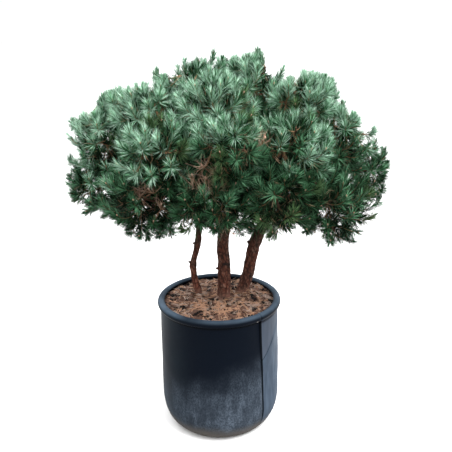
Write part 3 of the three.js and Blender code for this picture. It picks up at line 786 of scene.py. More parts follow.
class PineCrownSettings(PropertyGroup):
    needle_length: length("Needle length", "Length of a full needle", 0.053)
    needle_width: length("Needle width", "Width of a needle at its widest", 0.0019)
    brush_length: length("Brush length", "How much of a shoot bears needles", 0.125)
    pairs_per_shoot: number("Pairs per shoot", "Pairs of needles on an outer shoot", 96, least=1)
    shoots_per_mass: number("Shoots per mass", "The most outer shoots in a mass", 44, least=1)
    # Pale needles: partly the bloom of new needles, partly painted highlight on the highest and outermost
    # shoots
    pale: tint("Pale needles", "Bloom on the newest needles", shade(180, 216, 193))
    light: tint("Light needles", "Light blue-green needles", shade(108, 160, 122))
    blue: tint("Blue needles", "Blue-green needles", shade(62, 108, 74))
    green: tint("Green needles", "Older green needles", shade(46, 82, 52))
    # Deep and dark needles are mostly painted shade: they go to inner shoots, fillers, shoots on the limbs
    # and the feet of brushes
    deep: tint("Deep needles", "Needles in the shade", shade(23, 46, 26))
    dark: tint("Dark needles", "Needles deep in the crown", shade(12, 24, 13))
    olive: tint("Yellow needles", "Needles of yellower shoots", shade(88, 120, 78))
    dull_olive: tint("Dull yellow needles", "Older needles of yellower shoots", shade(62, 80, 50))
    withered: tint("Dead needles", "Withered needles", shade(132, 104, 84))
    faded: tint("Faded needles", "Bleached dead needles", shade(158, 132, 108))
    young_wood: tint("Young wood", "Bark of the shoots", shade(134, 104, 76))
    old_wood: tint("Old wood", "Bark of the older twigs", shade(92, 66, 52))
    dead_wood: tint("Dead wood", "Bark of dead twigs", shade(178, 150, 132))
    bud: tint("Buds", "Resting buds", shade(206, 166, 142))


# Pot and soil


def wall_radius(height):
    """The wall's outer radius above the heel: it falls from the belly to the neck with a power of the
    share of the height."""
    share = np.clip((height - HEEL_HEIGHT) / (POT_HEIGHT - HEEL_HEIGHT), 0, 1)
    return mix(BELLY_RADIUS, NECK_RADIUS, share**WALL_FULLNESS)


def ellipse_arc(radius, height, half_width, half_height, low, high, steps):
    """Points of an ellipse's arc between two angles in degrees: radius and height."""
    angle = np.radians(np.linspace(low, high, steps))
    return np.stack([radius + half_width * np.cos(angle), height + half_height * np.sin(angle)], axis=1)


def pot_surface(settings):
    """The profile turned about Z: heel, wall, rolled lip, inner wall and inner heel. The outer wall is
    pushed out past the seam by a step that fades with the angle, folded along one crease, and strays
    in and out by soft noise. The lip is nicked where the seam crosses it."""
    lip_height = POT_HEIGHT - LIP_RADIUS
    wall_heights = np.linspace(HEEL_HEIGHT, lip_height - LIP_RADIUS, 46)[1:]
    heel = ellipse_arc(FOOT_RADIUS, HEEL_HEIGHT, BELLY_RADIUS - FOOT_RADIUS, HEEL_HEIGHT, -90, 0, 30)
    foot = np.stack([np.linspace(EYE_RADIUS, FOOT_RADIUS, 6)[:-1], np.zeros(5)], axis=1)
    wall = np.stack([wall_radius(wall_heights), wall_heights], axis=1)
    lip = ellipse_arc(RIM_RADIUS - LIP_RADIUS, lip_height, LIP_RADIUS, LIP_RADIUS, -75, 150, 26)
    inner_heights = np.linspace(lip_height - INNER_TOP, HEEL_HEIGHT + INNER_FOOT, 8)
    inside = np.stack([np.full(8, INNER_RADIUS), inner_heights], axis=1)
    under = ellipse_arc(FOOT_RADIUS, HEEL_HEIGHT, INNER_RADIUS - FOOT_RADIUS, HEEL_HEIGHT - WALL, 0, -90, 10)
    floor = np.stack([np.linspace(FOOT_RADIUS, EYE_RADIUS, 5)[1:], np.full(4, WALL)], axis=1)
    profile = np.concatenate([foot, heel, wall, lip, inside, under, floor])
    place = np.arange(len(profile))[:, None]
    lip_start = len(foot) + len(heel) + len(wall)
    outer = place < lip_start
    on_lip = (place >= lip_start) & (place < lip_start + len(lip))

    past = np.concatenate([
        np.linspace(0, SEAM_ZONE, 24)[:-1],
        np.linspace(SEAM_ZONE, FULL_TURN - SEAM_ZONE, 150)[:-1],
        np.linspace(FULL_TURN - SEAM_ZONE, FULL_TURN - SEAM_WIDTH, 24),
    ])
    radius = np.repeat(profile[:, :1], len(past), axis=1)
    height = np.repeat(profile[:, 1:], len(past), axis=1)
    azimuth = SEAM_AZIMUTH + SEAM_SLANT * (1 - height / POT_HEIGHT) + past
    spot = polar(radius, azimuth, height)

    cover = np.clip(1 - past / SEAM_FADE, 0, 1) ** 2
    step = mix(SEAM_STEP, NECK_STEP, (height / POT_HEIGHT) ** 2) * cover
    dents = sway(spot, WIDE_DENT, 3) * settings.dent_depth * 2
    dents += sway(spot, SMALL_DENT, 5) * settings.dent_depth * 0.5
    dents *= ease(0.0, DENTS_FROM, height)
    radius += np.where(outer, step * ease(*STEP_RISE, height) + crease_depth(past, height) + dents, 0)
    radius -= np.where(outer, GROOVE_DEPTH * bell(height - GROOVE_HEIGHT, GROOVE_WIDTH), 0)
    under_panel = on_lip & (height < lip_height)
    radius = np.where(under_panel, np.maximum(radius, NECK_RADIUS + NECK_STEP * cover), radius)
    nick = bell(np.minimum(past, FULL_TURN - past) * RIM_RADIUS, NICK_WIDTH) * NICK_DEPTH
    radius -= np.where(on_lip, nick, 0)
    height -= np.where(on_lip, nick * NICK_DROP, 0)
    return skin(polar(radius, azimuth, height)[None])


def crease_depth(past, height):
    """A fold in the lapped panel: along a line that climbs from the seam, the wall steps in by an eased
    amount below the line, with a narrow ridge on it, and the fold fades towards both ends."""
    start, end = CREASE_ENDS
    share = (past - start) / (end - start)
    off = height - mix(CREASE_FOOT + start * CREASE_SLOPE, CREASE_FOOT + end * CREASE_SLOPE, share)
    fading = ease(*CREASE_FADE_IN, share) * ease(*CREASE_FADE_OUT, share)
    step_in = ease(*CREASE_EDGE, off) * ease(*CREASE_RUN, off)
    return fading * (CREASE_STEP * step_in + CREASE_RIDGE * bell(off, CREASE_RIDGE_WIDTH))


def rivet_surface():
    """A rivet's head: rings round an axis that points out of the lip, whose radius falls as a quarter
    of an oval."""
    way = polar(RIVET_OUT, RIVET_AZIMUTH, RIVET_DOWN)
    seat = polar(RIVET_RADIUS, RIVET_AZIMUTH, RIVET_HEIGHT)
    angle = np.linspace(0, np.pi / 2 - RIVET_FLAT, 8)
    path = seat + unit(way) * (RIVET_HEAD_HEIGHT * np.sin(angle) - RIVET_SINK)[:, None]
    return tubes(path[None], RIVET_HEAD_RADIUS * np.cos(angle), 16)


def soil_height(across, away, relief):
    """The soil's height at a place: an even fall from the flat middle to the edge, a small mound round
    each stem, three sizes of soft noise, and pits that are bell curves at seeded places."""
    spot = np.stack([across, away, np.zeros_like(across)], axis=-1)
    share = np.clip((np.hypot(across, away) - SOIL_FLAT_RADIUS) / SOIL_FALL_RUN, 0, 1.2)
    height = mix(SOIL_MIDDLE, SOIL_EDGE, share)
    for cell, seed, part in SOIL_GRAINS:
        height = height + sway(spot, cell, seed) * relief * part
    pit_across, pit_away, k = scatter(PIT_COUNT, 33, PIT_SPREAD)
    width = mix(*PIT_WIDTHS, chance(35, k) ** PIT_RARITY)
    off = np.hypot(across[..., None] - pit_across, away[..., None] - pit_away)
    height = height - (bell(off, width) * width * PIT_STEEPNESS).max(axis=-1)
    for stem in STEMS:
        off = np.hypot(across - stem.course[0][0], away - stem.course[0][1])
        height = height + MOUND_HEIGHT * bell(off, stem.radius + MOUND_MARGIN)
    return height


def on_soil(across, away, settings, lift=0.0):
    """Points at places on the soil, lifted off it by an amount."""
    return np.stack([across, away, soil_height(across, away, settings.relief) + lift], axis=-1)


def soil_surface(settings):
    """Rings from the pole under the soil, up the pot's inner wall and in over the rough top."""
    outer = INNER_RADIUS - SOIL_GAP
    sole = WALL + SOIL_GAP
    foot = np.stack([np.linspace(EYE_RADIUS, FOOT_RADIUS, 4)[:-1], np.full(3, sole)], axis=1)
    heel = ellipse_arc(FOOT_RADIUS, HEEL_HEIGHT, outer - FOOT_RADIUS, HEEL_HEIGHT - sole, -90, 0, 8)
    wall = np.stack([np.full(4, outer), np.linspace(HEEL_HEIGHT, SOIL_WALL_TOP, 5)[1:]], axis=1)
    low = np.concatenate([foot, heel, wall])
    azimuth = np.arange(SOIL_COLUMNS) * FULL_TURN / SOIL_COLUMNS
    radii = np.linspace(outer - SOIL_EDGE_GAP, SOIL_HOLE, SOIL_RINGS)[:, None]
    top = on_soil(radii * np.cos(azimuth), radii * np.sin(azimuth), settings)
    return skin(np.concatenate([polar(low[:, :1], azimuth, low[:, 1:]), top])[None])


def scatter(count, seed, spread):
    """Places dealt evenly over the soil: the radius grows with the root of a seeded fraction."""
    k = np.arange(count)
    radius = spread * np.sqrt(chance(seed, k))
    azimuth = FULL_TURN * chance(seed + 1, k)
    return radius * np.cos(azimuth), radius * np.sin(azimuth), k


def fallen_needle_surface(settings):
    """Dead needles that lie on the soil: kites at seeded places, headings and slight tilts."""
    across, away, k = scatter(settings.needle_count, 41, SCATTER_SPREAD)
    first = k - k % BUNDLE
    across = across[first] + stray(64, k, BUNDLE_WIDTH)
    away = away[first] + stray(65, k, BUNDLE_WIDTH)
    heading = FULL_TURN * chance(43, first) + stray(66, k, FALLEN_TURN)
    tilt = stray(44, k, FALLEN_TILT)
    span = mix(*FALLEN_SPANS, chance(45, k))
    lift = np.abs(np.sin(tilt)) * span / 2 + mix(*FALLEN_LIFTS, chance(46, k))
    middle = on_soil(across, away, settings, lift)
    keep = np.hypot(across, away) + span * 0.5 < NEEDLE_SPREAD
    middle, ahead, k = middle[keep], polar(np.cos(tilt), heading, np.sin(tilt))[keep], k[keep]
    side = unit(np.cross(ahead, UP))
    half = ahead * span[keep][:, None] / 2
    swing = side * stray(47, k, FALLEN_SWING)[:, None]
    thin = mix(*FALLEN_WIDTHS, chance(48, k))
    corners, faces = blades(
        middle - half + swing, middle + half + swing, side, np.cross(side, ahead), thin,
        thin * FALLEN_FOLD, 0.5
    )
    old = chance(49, first[keep]) < OLD_SHARE
    return (corners, [faces]), np.repeat(old, 4)


def strand_surface(settings):
    """Long curved needles that lie criss-cross near the front: thin tubes along arcs of seeded
    curvature that follow the soil."""
    k = np.arange(STRAND_COUNT)
    first = k - k % BUNDLE
    turn = FULL_TURN * chance(71, first)
    radius = STRAND_FIELD * np.sqrt(chance(72, first))
    across = STRAND_MIDDLE[0] + radius * np.cos(turn) * STRAND_STRETCH + stray(67, k, BUNDLE_WIDTH)
    away = STRAND_MIDDLE[1] + radius * np.sin(turn) + stray(68, k, BUNDLE_WIDTH)
    steps = len(STRAND_GIRTH)
    heading, swing = FULL_TURN * chance(73, first)[:, None], stray(74, first[:, None], STRAND_SWING)
    angle = heading + swing * np.linspace(-0.5, 0.5, steps)
    span = mix(*STRAND_SPANS, chance(75, k))[:, None]
    across = across[:, None] + np.cumsum(np.cos(angle), axis=1) * span / steps
    away = away[:, None] + np.cumsum(np.sin(angle), axis=1) * span / steps
    paths = on_soil(across, away, settings, mix(*STRAND_LIFTS, chance(76, k))[:, None])
    keep = np.hypot(across, away).max(axis=1) < STRAND_SPREAD
    return tubes(paths[keep], np.array(STRAND_GIRTH), 4)


def bark_chip_surface(settings):
    """Chips of bark: flat boxes of uneven corners at seeded places, turns and small tilts."""
    across, away, k = scatter(settings.chip_count, 51, SCATTER_SPREAD)
    keep = np.flatnonzero(np.hypot(across, away) < CHIP_SPREAD)
    across, away, k = across[keep], away[keep], k[keep]
    size = np.stack([mix(*CHIP_LENGTHS, chance(53, k) ** 2), mix(*CHIP_WIDTHS, chance(54, k)),
                     mix(*CHIP_HEIGHTS, chance(55, k))], axis=-1)
    heading = FULL_TURN * chance(56, k)
    ahead = unit(polar(1, heading, stray(57, k, CHIP_TILT)))
    side, up = square_to(UP, ahead)
    middle = on_soil(across, away, settings, size[:, 2] * CHIP_LIFT)
    turn = np.array([[-1, -1], [1, -1], [1, 1], [-1, 1]])
    rings = []
    for level in (-1, 1):
        wobble = 1 + stray(58 + level, k[:, None] * 4 + np.arange(4), CHIP_WOBBLE)
        flat = turn[None] * size[:, None, :2] * wobble[..., None]
        rings.append(middle[:, None] + ahead[:, None] * flat[..., :1] + side[:, None] * flat[..., 1:]
                     + (up * size[:, 2:] * level)[:, None])
    dark = chance(61, k) < DARK_SHARE
    return skin(np.stack(rings, axis=1)), np.concatenate([np.repeat(dark, 4), np.repeat(dark, 8)])


# Limbs

Limb = namedtuple("Limb", "name points radii tip_mass")


def at_height(limb, height):
    """The point of a limb's course at a height, mixed from the two nearest."""
    return along(limb.points, np.interp(height, limb.points[:, 2], np.linspace(0, 1, len(limb.points))))


def stem_limb(stem):
    """A stem's evenly spaced course, and its radius there: a taper by a power of the share of its
    length, swollen or narrowed at the root by a share that dies away along it."""
    points = even(smooth_course(stem.course), STEM_POINTS)
    share = np.linspace(0, 1, len(points))
    total = np.linalg.norm(np.diff(points, axis=0), axis=1).sum()
    radii = mix(stem.radius, stem.tip_radius, share**STEM_TAPER)
    swell = stem.root[0] * np.exp(-share * total / stem.root[1])
    return Limb(stem.name, points, radii * (1 + swell), stem.tip_mass)


def bough_limb(mass, stems):
    """A bough: a cubic Bezier curve that leaves its stem outward and upward and arrives at the foot of
    its mass in line with it, tapering evenly."""
    start = at_height(next(limb for limb in stems if limb.name == mass.stem), mass.height)
    middle = np.array(mass.middle)
    heading = unit(middle - HUB)
    foot = middle - heading * mass.reach * FOOT_SHARE
    span = np.linalg.norm(foot - start)
    outward = unit(unit((foot - start) * (1, 1, 0)) + UP * BOUGH_RISE)
    corners = (start, start + outward * span * BEND_SHARE, foot - heading * span * BEND_SHARE, foot)
    points = even(bezier(corners, np.linspace(0, 1, 80)), BOUGH_POINTS)
    radii = mix(mass.girth, BOUGH_TIP_RADIUS, np.linspace(0, 1, BOUGH_POINTS))
    return Limb(f"bough_{mass.name}", points, radii, mass.name)


def all_limbs():
    """The three stems, and the bough of each mass that has one."""
    stems = [stem_limb(stem) for stem in STEMS]
    return stems + [bough_limb(mass, stems) for mass in MASSES if mass.stem]


def barked(limb, count, sides, settings, share=1.0):
    """A limb's skin with the relief of its bark: its rings are pushed out by lumps of soft noise and by
    plates of uneven height, and pressed in along the cracks between the plates."""
    path = even(limb.points, count)
    girth = np.interp(np.linspace(0, 1, count), np.linspace(0, 1, len(limb.radii)), limb.radii)
    rings, out = tube_rings(path[None], girth, sides)
    gap, mark = plates(rings, np.array(PLATE_CELL))
    fine_gap, fine_mark = plates(rings, np.array(FINE_PLATE_CELL), 9)
    depth = settings.crack_depth
    relief = (mark - 0.5) * depth * PLATE_RELIEF - (1 - ease(0.0, CRACK_WIDTH, gap)) * depth
    relief += (fine_mark - 0.5) * depth * FINE_RELIEF
    relief -= (1 - ease(0.0, FINE_CRACK_WIDTH, fine_gap)) * depth * FINE_CRACK_DEPTH
    relief += sway(rings, LUMP_CELL, 21) * settings.lump_depth * 2
    return rings + out * (relief * share)[..., None]


def stub_rings(stem, limb, height, azimuth, span, radius):
    """A dead stub: a short tube that points out and a little up, wider at its root than at its tip."""
    out = unit(polar(1, np.radians(azimuth), STUB_RISE))
    shares = np.linspace(0, 1, 9)
    path = at_height(limb, height) + out * (shares * (stem.radius + span * 0.5))[:, None]
    taper = radius * mix(*STUB_GIRTHS, shares) * (1 - STUB_ROUNDED * ease(STUB_ROUND_FROM, 1.0, shares))
    rings, ways = tube_rings(path[None], taper, 10)
    lumps = sway(rings, STUB_LUMP_CELL, 31) * radius * STUB_LUMPS
    return rings + ways * lumps[..., None]


# Crown

Shoots = namedtuple("Shoots", "start bend tip bare kind")

# Places, each with its radius: pockets of dead twigs, tips that are held short, and one gap left open
WITHERED_PLACES = [
    ((-0.034, -0.47, 1.215), 0.06), ((0.01, -0.47, 1.187), 0.055), ((-0.227, -0.42, 1.142), 0.046),
    ((0.159, -0.42, 1.346), 0.045), ((0.175, -0.36, 1.058), 0.05), ((0.066, -0.42, 1.041), 0.05),
]
SHORT_PLACES = [
    ((-0.471, 0.065, 1.472), 0.09), ((-0.129, -0.13, 1.57), 0.07), ((0.215, 0.0, 1.56), 0.07),
    ((0.345, 0.1, 1.535), 0.05), ((0.569, -0.08, 1.364), 0.08), ((0.274, -0.3, 0.957), 0.08),
    ((-0.368, -0.3, 0.989), 0.08), ((0.455, -0.3, 0.923), 0.06), ((-0.04, -0.42, 1.0), 0.08),
    ((-0.5, 0.0, 1.45), 0.05), ((-0.37, 0.08, 1.505), 0.05), ((0.26, -0.47, 0.985), 0.05),
    ((0.35, -0.25, 0.93), 0.06), ((0.43, -0.27, 0.9), 0.06), ((0.565, -0.23, 0.96), 0.06),
    ((-0.46, -0.08, 0.95), 0.06), ((-0.38, -0.38, 1.02), 0.06),
]
OPEN_PLACES = [((-0.05, -0.49, 1.02), 0.05)]
SHORTER = 0.034

# Ends that single shoots of a mass lead to: in its outline, and in the hollows between masses
LEADERS = {
    "top_left": [(-0.222, -0.05, 1.583), (-0.195, -0.1, 1.548), (-0.064, -0.05, 1.614), (-0.007, 0.0, 1.646),
                 (0.028, 0.0, 1.623), (-0.24, 0.02, 1.57), (-0.2, 0.02, 1.555)],
    "peak": [(0.074, 0.0, 1.596), (0.166, -0.02, 1.65), (0.18, 0.03, 1.625)],
    "left_peak": [(-0.551, 0.02, 1.38), (-0.585, 0.02, 1.39), (-0.455, 0.03, 1.475)],
    "left_upper": [(-0.588, 0.06, 1.381), (-0.595, -0.01, 1.241), (-0.45, -0.03, 1.31)],
    "left_low": [(-0.598, -0.02, 1.168), (-0.58, -0.05, 1.125), (-0.56, -0.02, 1.19),
                 (-0.54, 0.05, 1.2), (-0.5, 0.05, 1.12)],
    "left_front_low": [(-0.168, -0.36, 1.05), (-0.323, -0.3, 1.03)],
    "front_low": [(0.084, -0.4, 1.06)],
    "right_low": [(0.471, -0.27, 0.985), (0.505, -0.22, 0.99)],
    "right_upper": [(0.506, 0.0, 1.45), (0.491, -0.05, 1.408), (0.515, 0.03, 1.435)],
    "far_right": [(0.682, 0.0, 1.255), (0.698, 0.0, 1.2), (0.645, 0.0, 1.29), (0.69, 0.02, 1.25),
                  (0.69, 0.02, 1.095), (0.68, 0.02, 1.045)],
    "right_top_back": [(0.447, 0.1, 1.541), (0.473, 0.1, 1.505)],
}
VALLEYS = {
    "front_upper": [(0.13, -0.2, 1.43), (0.15, -0.155, 1.41), (0.165, -0.22, 1.4)],
    "right_front_mid": [(0.22, -0.22, 1.39), (0.19, -0.245, 1.37), (0.262, -0.21, 1.36)],
    "right_top": [(0.225, -0.16, 1.42), (0.2, -0.12, 1.41), (0.245, -0.19, 1.41)],
    "peak": [(0.175, -0.12, 1.43), (0.185, -0.165, 1.42), (0.18, -0.07, 1.46), (0.182, -0.09, 1.44),
             (0.18, -0.185, 1.395)],
    "right_top_back": [(0.25, 0.12, 1.44), (0.36, 0.12, 1.49)],
    "back_right": [(0.235, 0.16, 1.43)],
    "upper_left": [(-0.24, 0.05, 1.43)],
    "left_peak": [(-0.27, 0.09, 1.43)],
    "top_left": [(-0.2, 0.07, 1.46), (-0.07, -0.015, 1.41), (-0.05, 0.01, 1.39)],
    "back_left": [(-0.23, 0.13, 1.42), (-0.15, 0.24, 1.43)],
    "left_low": [(-0.4, -0.17, 1.13)],
}

# The crown's wood: how many points and how much girth twigs and shoots have, how dead twigs leave their
# shoot, and the size and profile of a bud
BOUGH_SHOOTS = 13
DEAD_TWIGS = 8
DEAD_GIRTH = (0.0008, 0.0007, 0.0005, 0.0003)
MAIN_POINTS, SHOOT_POINTS = 8, 6
WOOD_GIRTHS = (0.005, 0.0042, 0.0028, 0.0021, 0.0012)
DEAD_FROM, DEAD_AHEAD, DEAD_SPANS, DEAD_SWING = 0.35, 0.35, (0.03, 0.075), 0.6
BUD_RADIUS, BUD_LENGTH, BUD_SINK, BUD_FOOT, BUD_RUN = 0.0028, 0.011, 0.001, 0.16, 0.8

# Needles inside the crown are stouter and fewer, and dead shoots bear few
INNER_STOUTER, INNER_SPARSER, DEAD_SPARSER = 2.2, 4, 14


def depth_in_space(points, index):
    """How far points lie inside a mass's own space, to the plane shared with the nearest neighbour.
    Neighbours share the room between them in proportion to their reach."""
    others = np.arange(len(MASSES)) != index
    own = ((points - MIDDLES[index]) ** 2).sum(-1) - REACHES[index] ** 2
    theirs = ((points[..., None, :] - MIDDLES[others]) ** 2).sum(-1) - REACHES[others] ** 2
    apart = np.linalg.norm(MIDDLES[others] - MIDDLES[index], axis=-1)
    return ((theirs - own[..., None]) / (2 * apart)).min(axis=-1)


def edge_of_reach(index, roots, headings):
    """How far rays run from roots inside a mass to the edge of its reach, a slightly flattened ball."""
    squash = np.array([1, 1, 1 / FLATTEN])
    start = (roots - MIDDLES[index]) * squash
    ray = headings * squash
    a = (ray**2).sum(-1)
    b = (start * ray).sum(-1)
    c = (start**2).sum(-1) - REACHES[index] ** 2
    return (-b + np.sqrt(b * b - a * c)) / a


def mass_stem(index, carrier):
    """The stem of a mass goes on from the tip of the limb that carries it and bends up through the
    middle of the mass: a quadratic Bezier curve."""
    mass = MASSES[index]
    heading = unit(carrier.points[-1] - carrier.points[-2])
    foot = carrier.points[-1] + heading * CLEARANCE
    middle = np.array(mass.middle)
    end = middle + (heading + UP) * mass.reach * STEM_OVERRUN
    bend = foot + heading * np.linalg.norm(foot - middle) / 2
    return even(bezier((foot, bend, end), np.linspace(0, 1, 40)), 21), heading


def dealt_buds(index, stem, heading):
    """Buds by two strides that fill tilt and turn evenly: each gets a way that leads off from the foot
    of the mass, pulled down in a low mass and up in a high one, and a root that sits the higher on the
    mass's stem the straighter ahead it points."""
    seed = index + 1
    k = np.arange(BUDS_PER_MASS)
    share = np.mod(chance(seed, 0) + k * TILT_STRIDE, 1)
    turn = FULL_TURN * np.mod(chance(seed, 1) + k * TURN_STRIDE, 1)
    narrowest = np.where(k < MAIN_BUDS, np.cos(NARROWEST), 1.0)
    spread = np.arccos(mix(np.cos(WIDEST), narrowest, share))
    side = unit(np.cross(UP, heading))
    up = np.cross(heading, side)
    ways = heading * np.cos(spread)[:, None]
    ways = ways + np.outer(np.sin(spread) * np.cos(turn), side) + np.outer(np.sin(spread) * np.sin(turn), up)
    height = MASSES[index].middle[2]
    ways = unit(ways + UP * mix(LOW_PULL, HIGH_PULL, (height - LOW_HEIGHT) / (HIGH_HEIGHT - LOW_HEIGHT)))
    roots = along(stem, mix(LOWEST_BUD, HIGHEST_BUD, share))
    full = edge_of_reach(index, roots, ways) * (1 + LENGTH_VARIATION * (chance(seed, LENGTH_DRAWS + k) - 0.5))
    return roots, ways, full


def longest_fit(index, roots, ways, full, margin):
    """The first of the shortenings that keeps each tip in the mass's own space, or 0 where none does."""
    shares = np.array(SHORTENINGS)
    tips = roots + ways * full[:, None] * shares[:, None, None]
    fits = depth_in_space(tips, index) > margin
    return np.where(fits.any(axis=0), shares[fits.argmax(axis=0)], 0)


def spaced(ways, allowed, spacing, most):
    """Indices of allowed ways in their order, leaving out each that lies closer to an earlier one than
    the spacing."""
    kept = []
    for k in np.flatnonzero(allowed):
        if len(kept) < most and not (kept and (ways[kept] @ ways[k]).max() > np.cos(spacing)):
            kept.append(k)
    return np.array(kept, int)


def clear_of_limbs(paths, limbs, carrier, room=0.002):
    """Which paths stay clear of every limb but the one that carries their mass."""
    clear = np.ones(len(paths), bool)
    for limb in limbs:
        if limb is not carrier:
            nearest = limb.points[::6]
            girth = limb.radii[::6]
            away = np.linalg.norm(paths[:, :, None] - nearest, axis=-1) - girth
            clear &= away.min(axis=(1, 2)) > room
    return clear


# How finer shoots are dealt to a mass: the least share of its reach that makes a shoot an outer one, the
# spacings, the most of each kind, how far the wood of each ends short of the needles' reach, and how the
# shoots that lead to given ends rise
OUTER_FIT = 0.88
OUTER_SPACING = np.radians(21)
INNER_SPACING = np.radians(25)
FILLER_SPACING = np.radians(24)
MOST_INNER, MOST_FILLERS = 24, 34
AXIS_SHORT, INNER_SHORT, FILLER_REACH = 0.031, 0.6, 0.7
SHORTEST = 0.03
TWIG_SAG = 0.006
LED_SHORT, LED_RISE, LED_BRUSH = 0.038, 0.55, 1.3
MOST_BRUSH, MOST_LED_BRUSH, LED_LIGHT_HEIGHT = 0.92, 0.9, 1.3

# The share of its main twig at which a shoot leaves it, by how well the two agree, and how steeply it
# bends up, by its tip's height, by how far it faces to the front or back, and by luck
LEAVE_SHARES, AGREEMENT = (0.3, 0.95), (0.75, 1.0)
UPTURNS, UPTURN_HEIGHT, UPTURN_RUN = (0.35, 1.45), 1.0, 0.35
FACING_UPTURNS, FACING_HEIGHT, FACING_RUN = (0.5, 1.3), 0.92, 0.15
UPTURN_LUCK = (0.6, 1.4)

# Short shoots on the limbs: where they start and end, their lengths, and how they lean and are bare
BOUGH_FROM, STEM_FROM, LIMB_TO, LIMB_STEP = 0.42, 0.62, 0.98, 0.02
LIMB_SPANS, LIMB_AHEAD, LIMB_RISE, LIMB_BARE = (0.06, 0.12), 0.7, 0.25, 0.1

# How needles stand on a shoot, their fold and bow, and the range of their lengths
FOOT_LEAN, TIP_LEAN, LEAN_STRAY, LEAN_POWER = np.radians(58), np.radians(28), 0.6, 0.85
TURN_STRAY, NEEDLE_RISE, PAIR_SPLAY = 0.8, 0.1, 0.07
NEEDLE_FOLD, NEEDLE_BOW, NEEDLE_WIDEST = 0.45, -0.03, 0.4
NEEDLE_SPANS, TIP_SPAN = (0.76, 1.16), 0.82

# How the tone grows with height and to the sides, painted light that is paler high up and out to the
# sides, more on the left, the limits and the luck by which tones are dealt to shoots and needles, the
# tones with their gloss, and the tone that is one step paler or deeper than each
TONE_HEIGHT, TONE_RISE, TONE_LUCK, TONE_FALL = 1.13, 2.6, 0.42, 0.26
LEFT_PALER, RIGHT_PALER = 0.95, 0.5
TONE_LIMITS = (0.7, 0.5, 0.2)
OLIVE_HEIGHT, OLIVE_LUCKS, FILLER_HEIGHT = 1.12, (0.16, 0.05), 1.28
PALER_LUCK, DEEPER_LUCKS = 0.74, (0.2, 0.36, 0.5)
# How much deeper needles lie at the foot of a brush, partly older needles and partly painted shade, and the
# chance of faded ones
FOOT_DEEPER, FOOT_TO, FADED_LUCK, FADED_TO = 0.4, 0.5, 0.05, 0.35
TONES = ("pale", "light", "blue", "green", "deep", "dark", "olive", "dull_olive", "withered", "faded")
PALE, LIGHT, BLUE, GREEN, DEEP, DARK, OLIVE, DULL_OLIVE, WITHERED, FADED = range(len(TONES))
TONE_GLOSS = (0.15, 0.15, 0.15, 0.15, 0.03, 0.03, 0.15, 0.03, 0.03, 0.15)
PALER = np.array([PALE, PALE, LIGHT, BLUE, GREEN, DEEP, OLIVE, OLIVE, FADED, FADED])
DEEPER = np.array([LIGHT, BLUE, GREEN, DEEP, DARK, DARK, DULL_OLIVE, DEEP, WITHERED, WITHERED])


def is_near(points, places):
    """Which points lie within its radius of any of the places."""
    middles, radii = np.array([place for place, _ in places]), np.array([radius for _, radius in places])
    return (np.linalg.norm(points[:, None] - middles, axis=-1) < radii).any(axis=1)


def some_of(shoots, chosen):
    """The shoots that a mask picks."""
    return Shoots(*(row[chosen] for row in shoots))


def shoot_tones(tips, chosen, is_outer, is_filler, seed):
    """Each shoot's tone: the paler the higher its tip lies and the farther out to its side, painted light,
    with a seeded share of luck, and some of a yellower green. Those deeper in the crown are darker, and
    the fillers deep or dark, painted shade, and those in the withered places dead."""
    # Paler the higher the tip and the farther out to the side, more so on the left: painted light
    tone = (tips[:, 2] - TONE_HEIGHT) * TONE_RISE + chance(seed + 80, chosen) * TONE_LUCK - TONE_FALL
    aside = tips[:, 0] - HUB[0]
    tone += np.where(aside < 0, aside * -LEFT_PALER, aside * RIGHT_PALER)
    kind = np.select([tone > limit for limit in TONE_LIMITS], [PALE, LIGHT, BLUE], GREEN)
    luck = np.where(tips[:, 2] < OLIVE_HEIGHT, *OLIVE_LUCKS)
    kind = np.where(chance(seed + 90, chosen) < luck, OLIVE, kind)
    # Inner shoots are three steps deeper and fillers deep or dark: painted shade inside the crown
    kind = np.where(is_outer, kind, DEEPER[DEEPER[DEEPER[kind]]])
    kind = np.where(is_filler, np.where(tips[:, 2] > FILLER_HEIGHT, DEEP, DARK), kind)
    return np.where(is_near(tips, WITHERED_PLACES), WITHERED, kind)


def led_shoots(name, mains, settings):
    """The shoots of a mass that lead to given ends: those that stand out of its outline, and short ones
    in its hollows. Each leaves the nearest tip of a main twig and rises into its end."""
    led, sunk = LEADERS.get(name, []), VALLEYS.get(name, [])
    ends = np.array(led + sunk).reshape(-1, 3) - UP * LED_SHORT
    near = np.linalg.norm(mains[None, :, -1] - ends[:, None], axis=-1).argmin(axis=1)
    foot = mains[near, -1]
    far = np.linalg.norm(ends - foot, axis=1)
    bare = 1 - np.minimum(settings.brush_length * LED_BRUSH / far, MOST_LED_BRUSH)
    # Painted light and shade: leaders that end high are light, lower ones blue, and short shoots in the
    # hollows green
    kind = np.where(ends[:, 2] > LED_LIGHT_HEIGHT, LIGHT, BLUE)
    kind[len(led):] = GREEN
    return Shoots(foot, ends - UP * LED_RISE * far[:, None], ends, bare, kind)


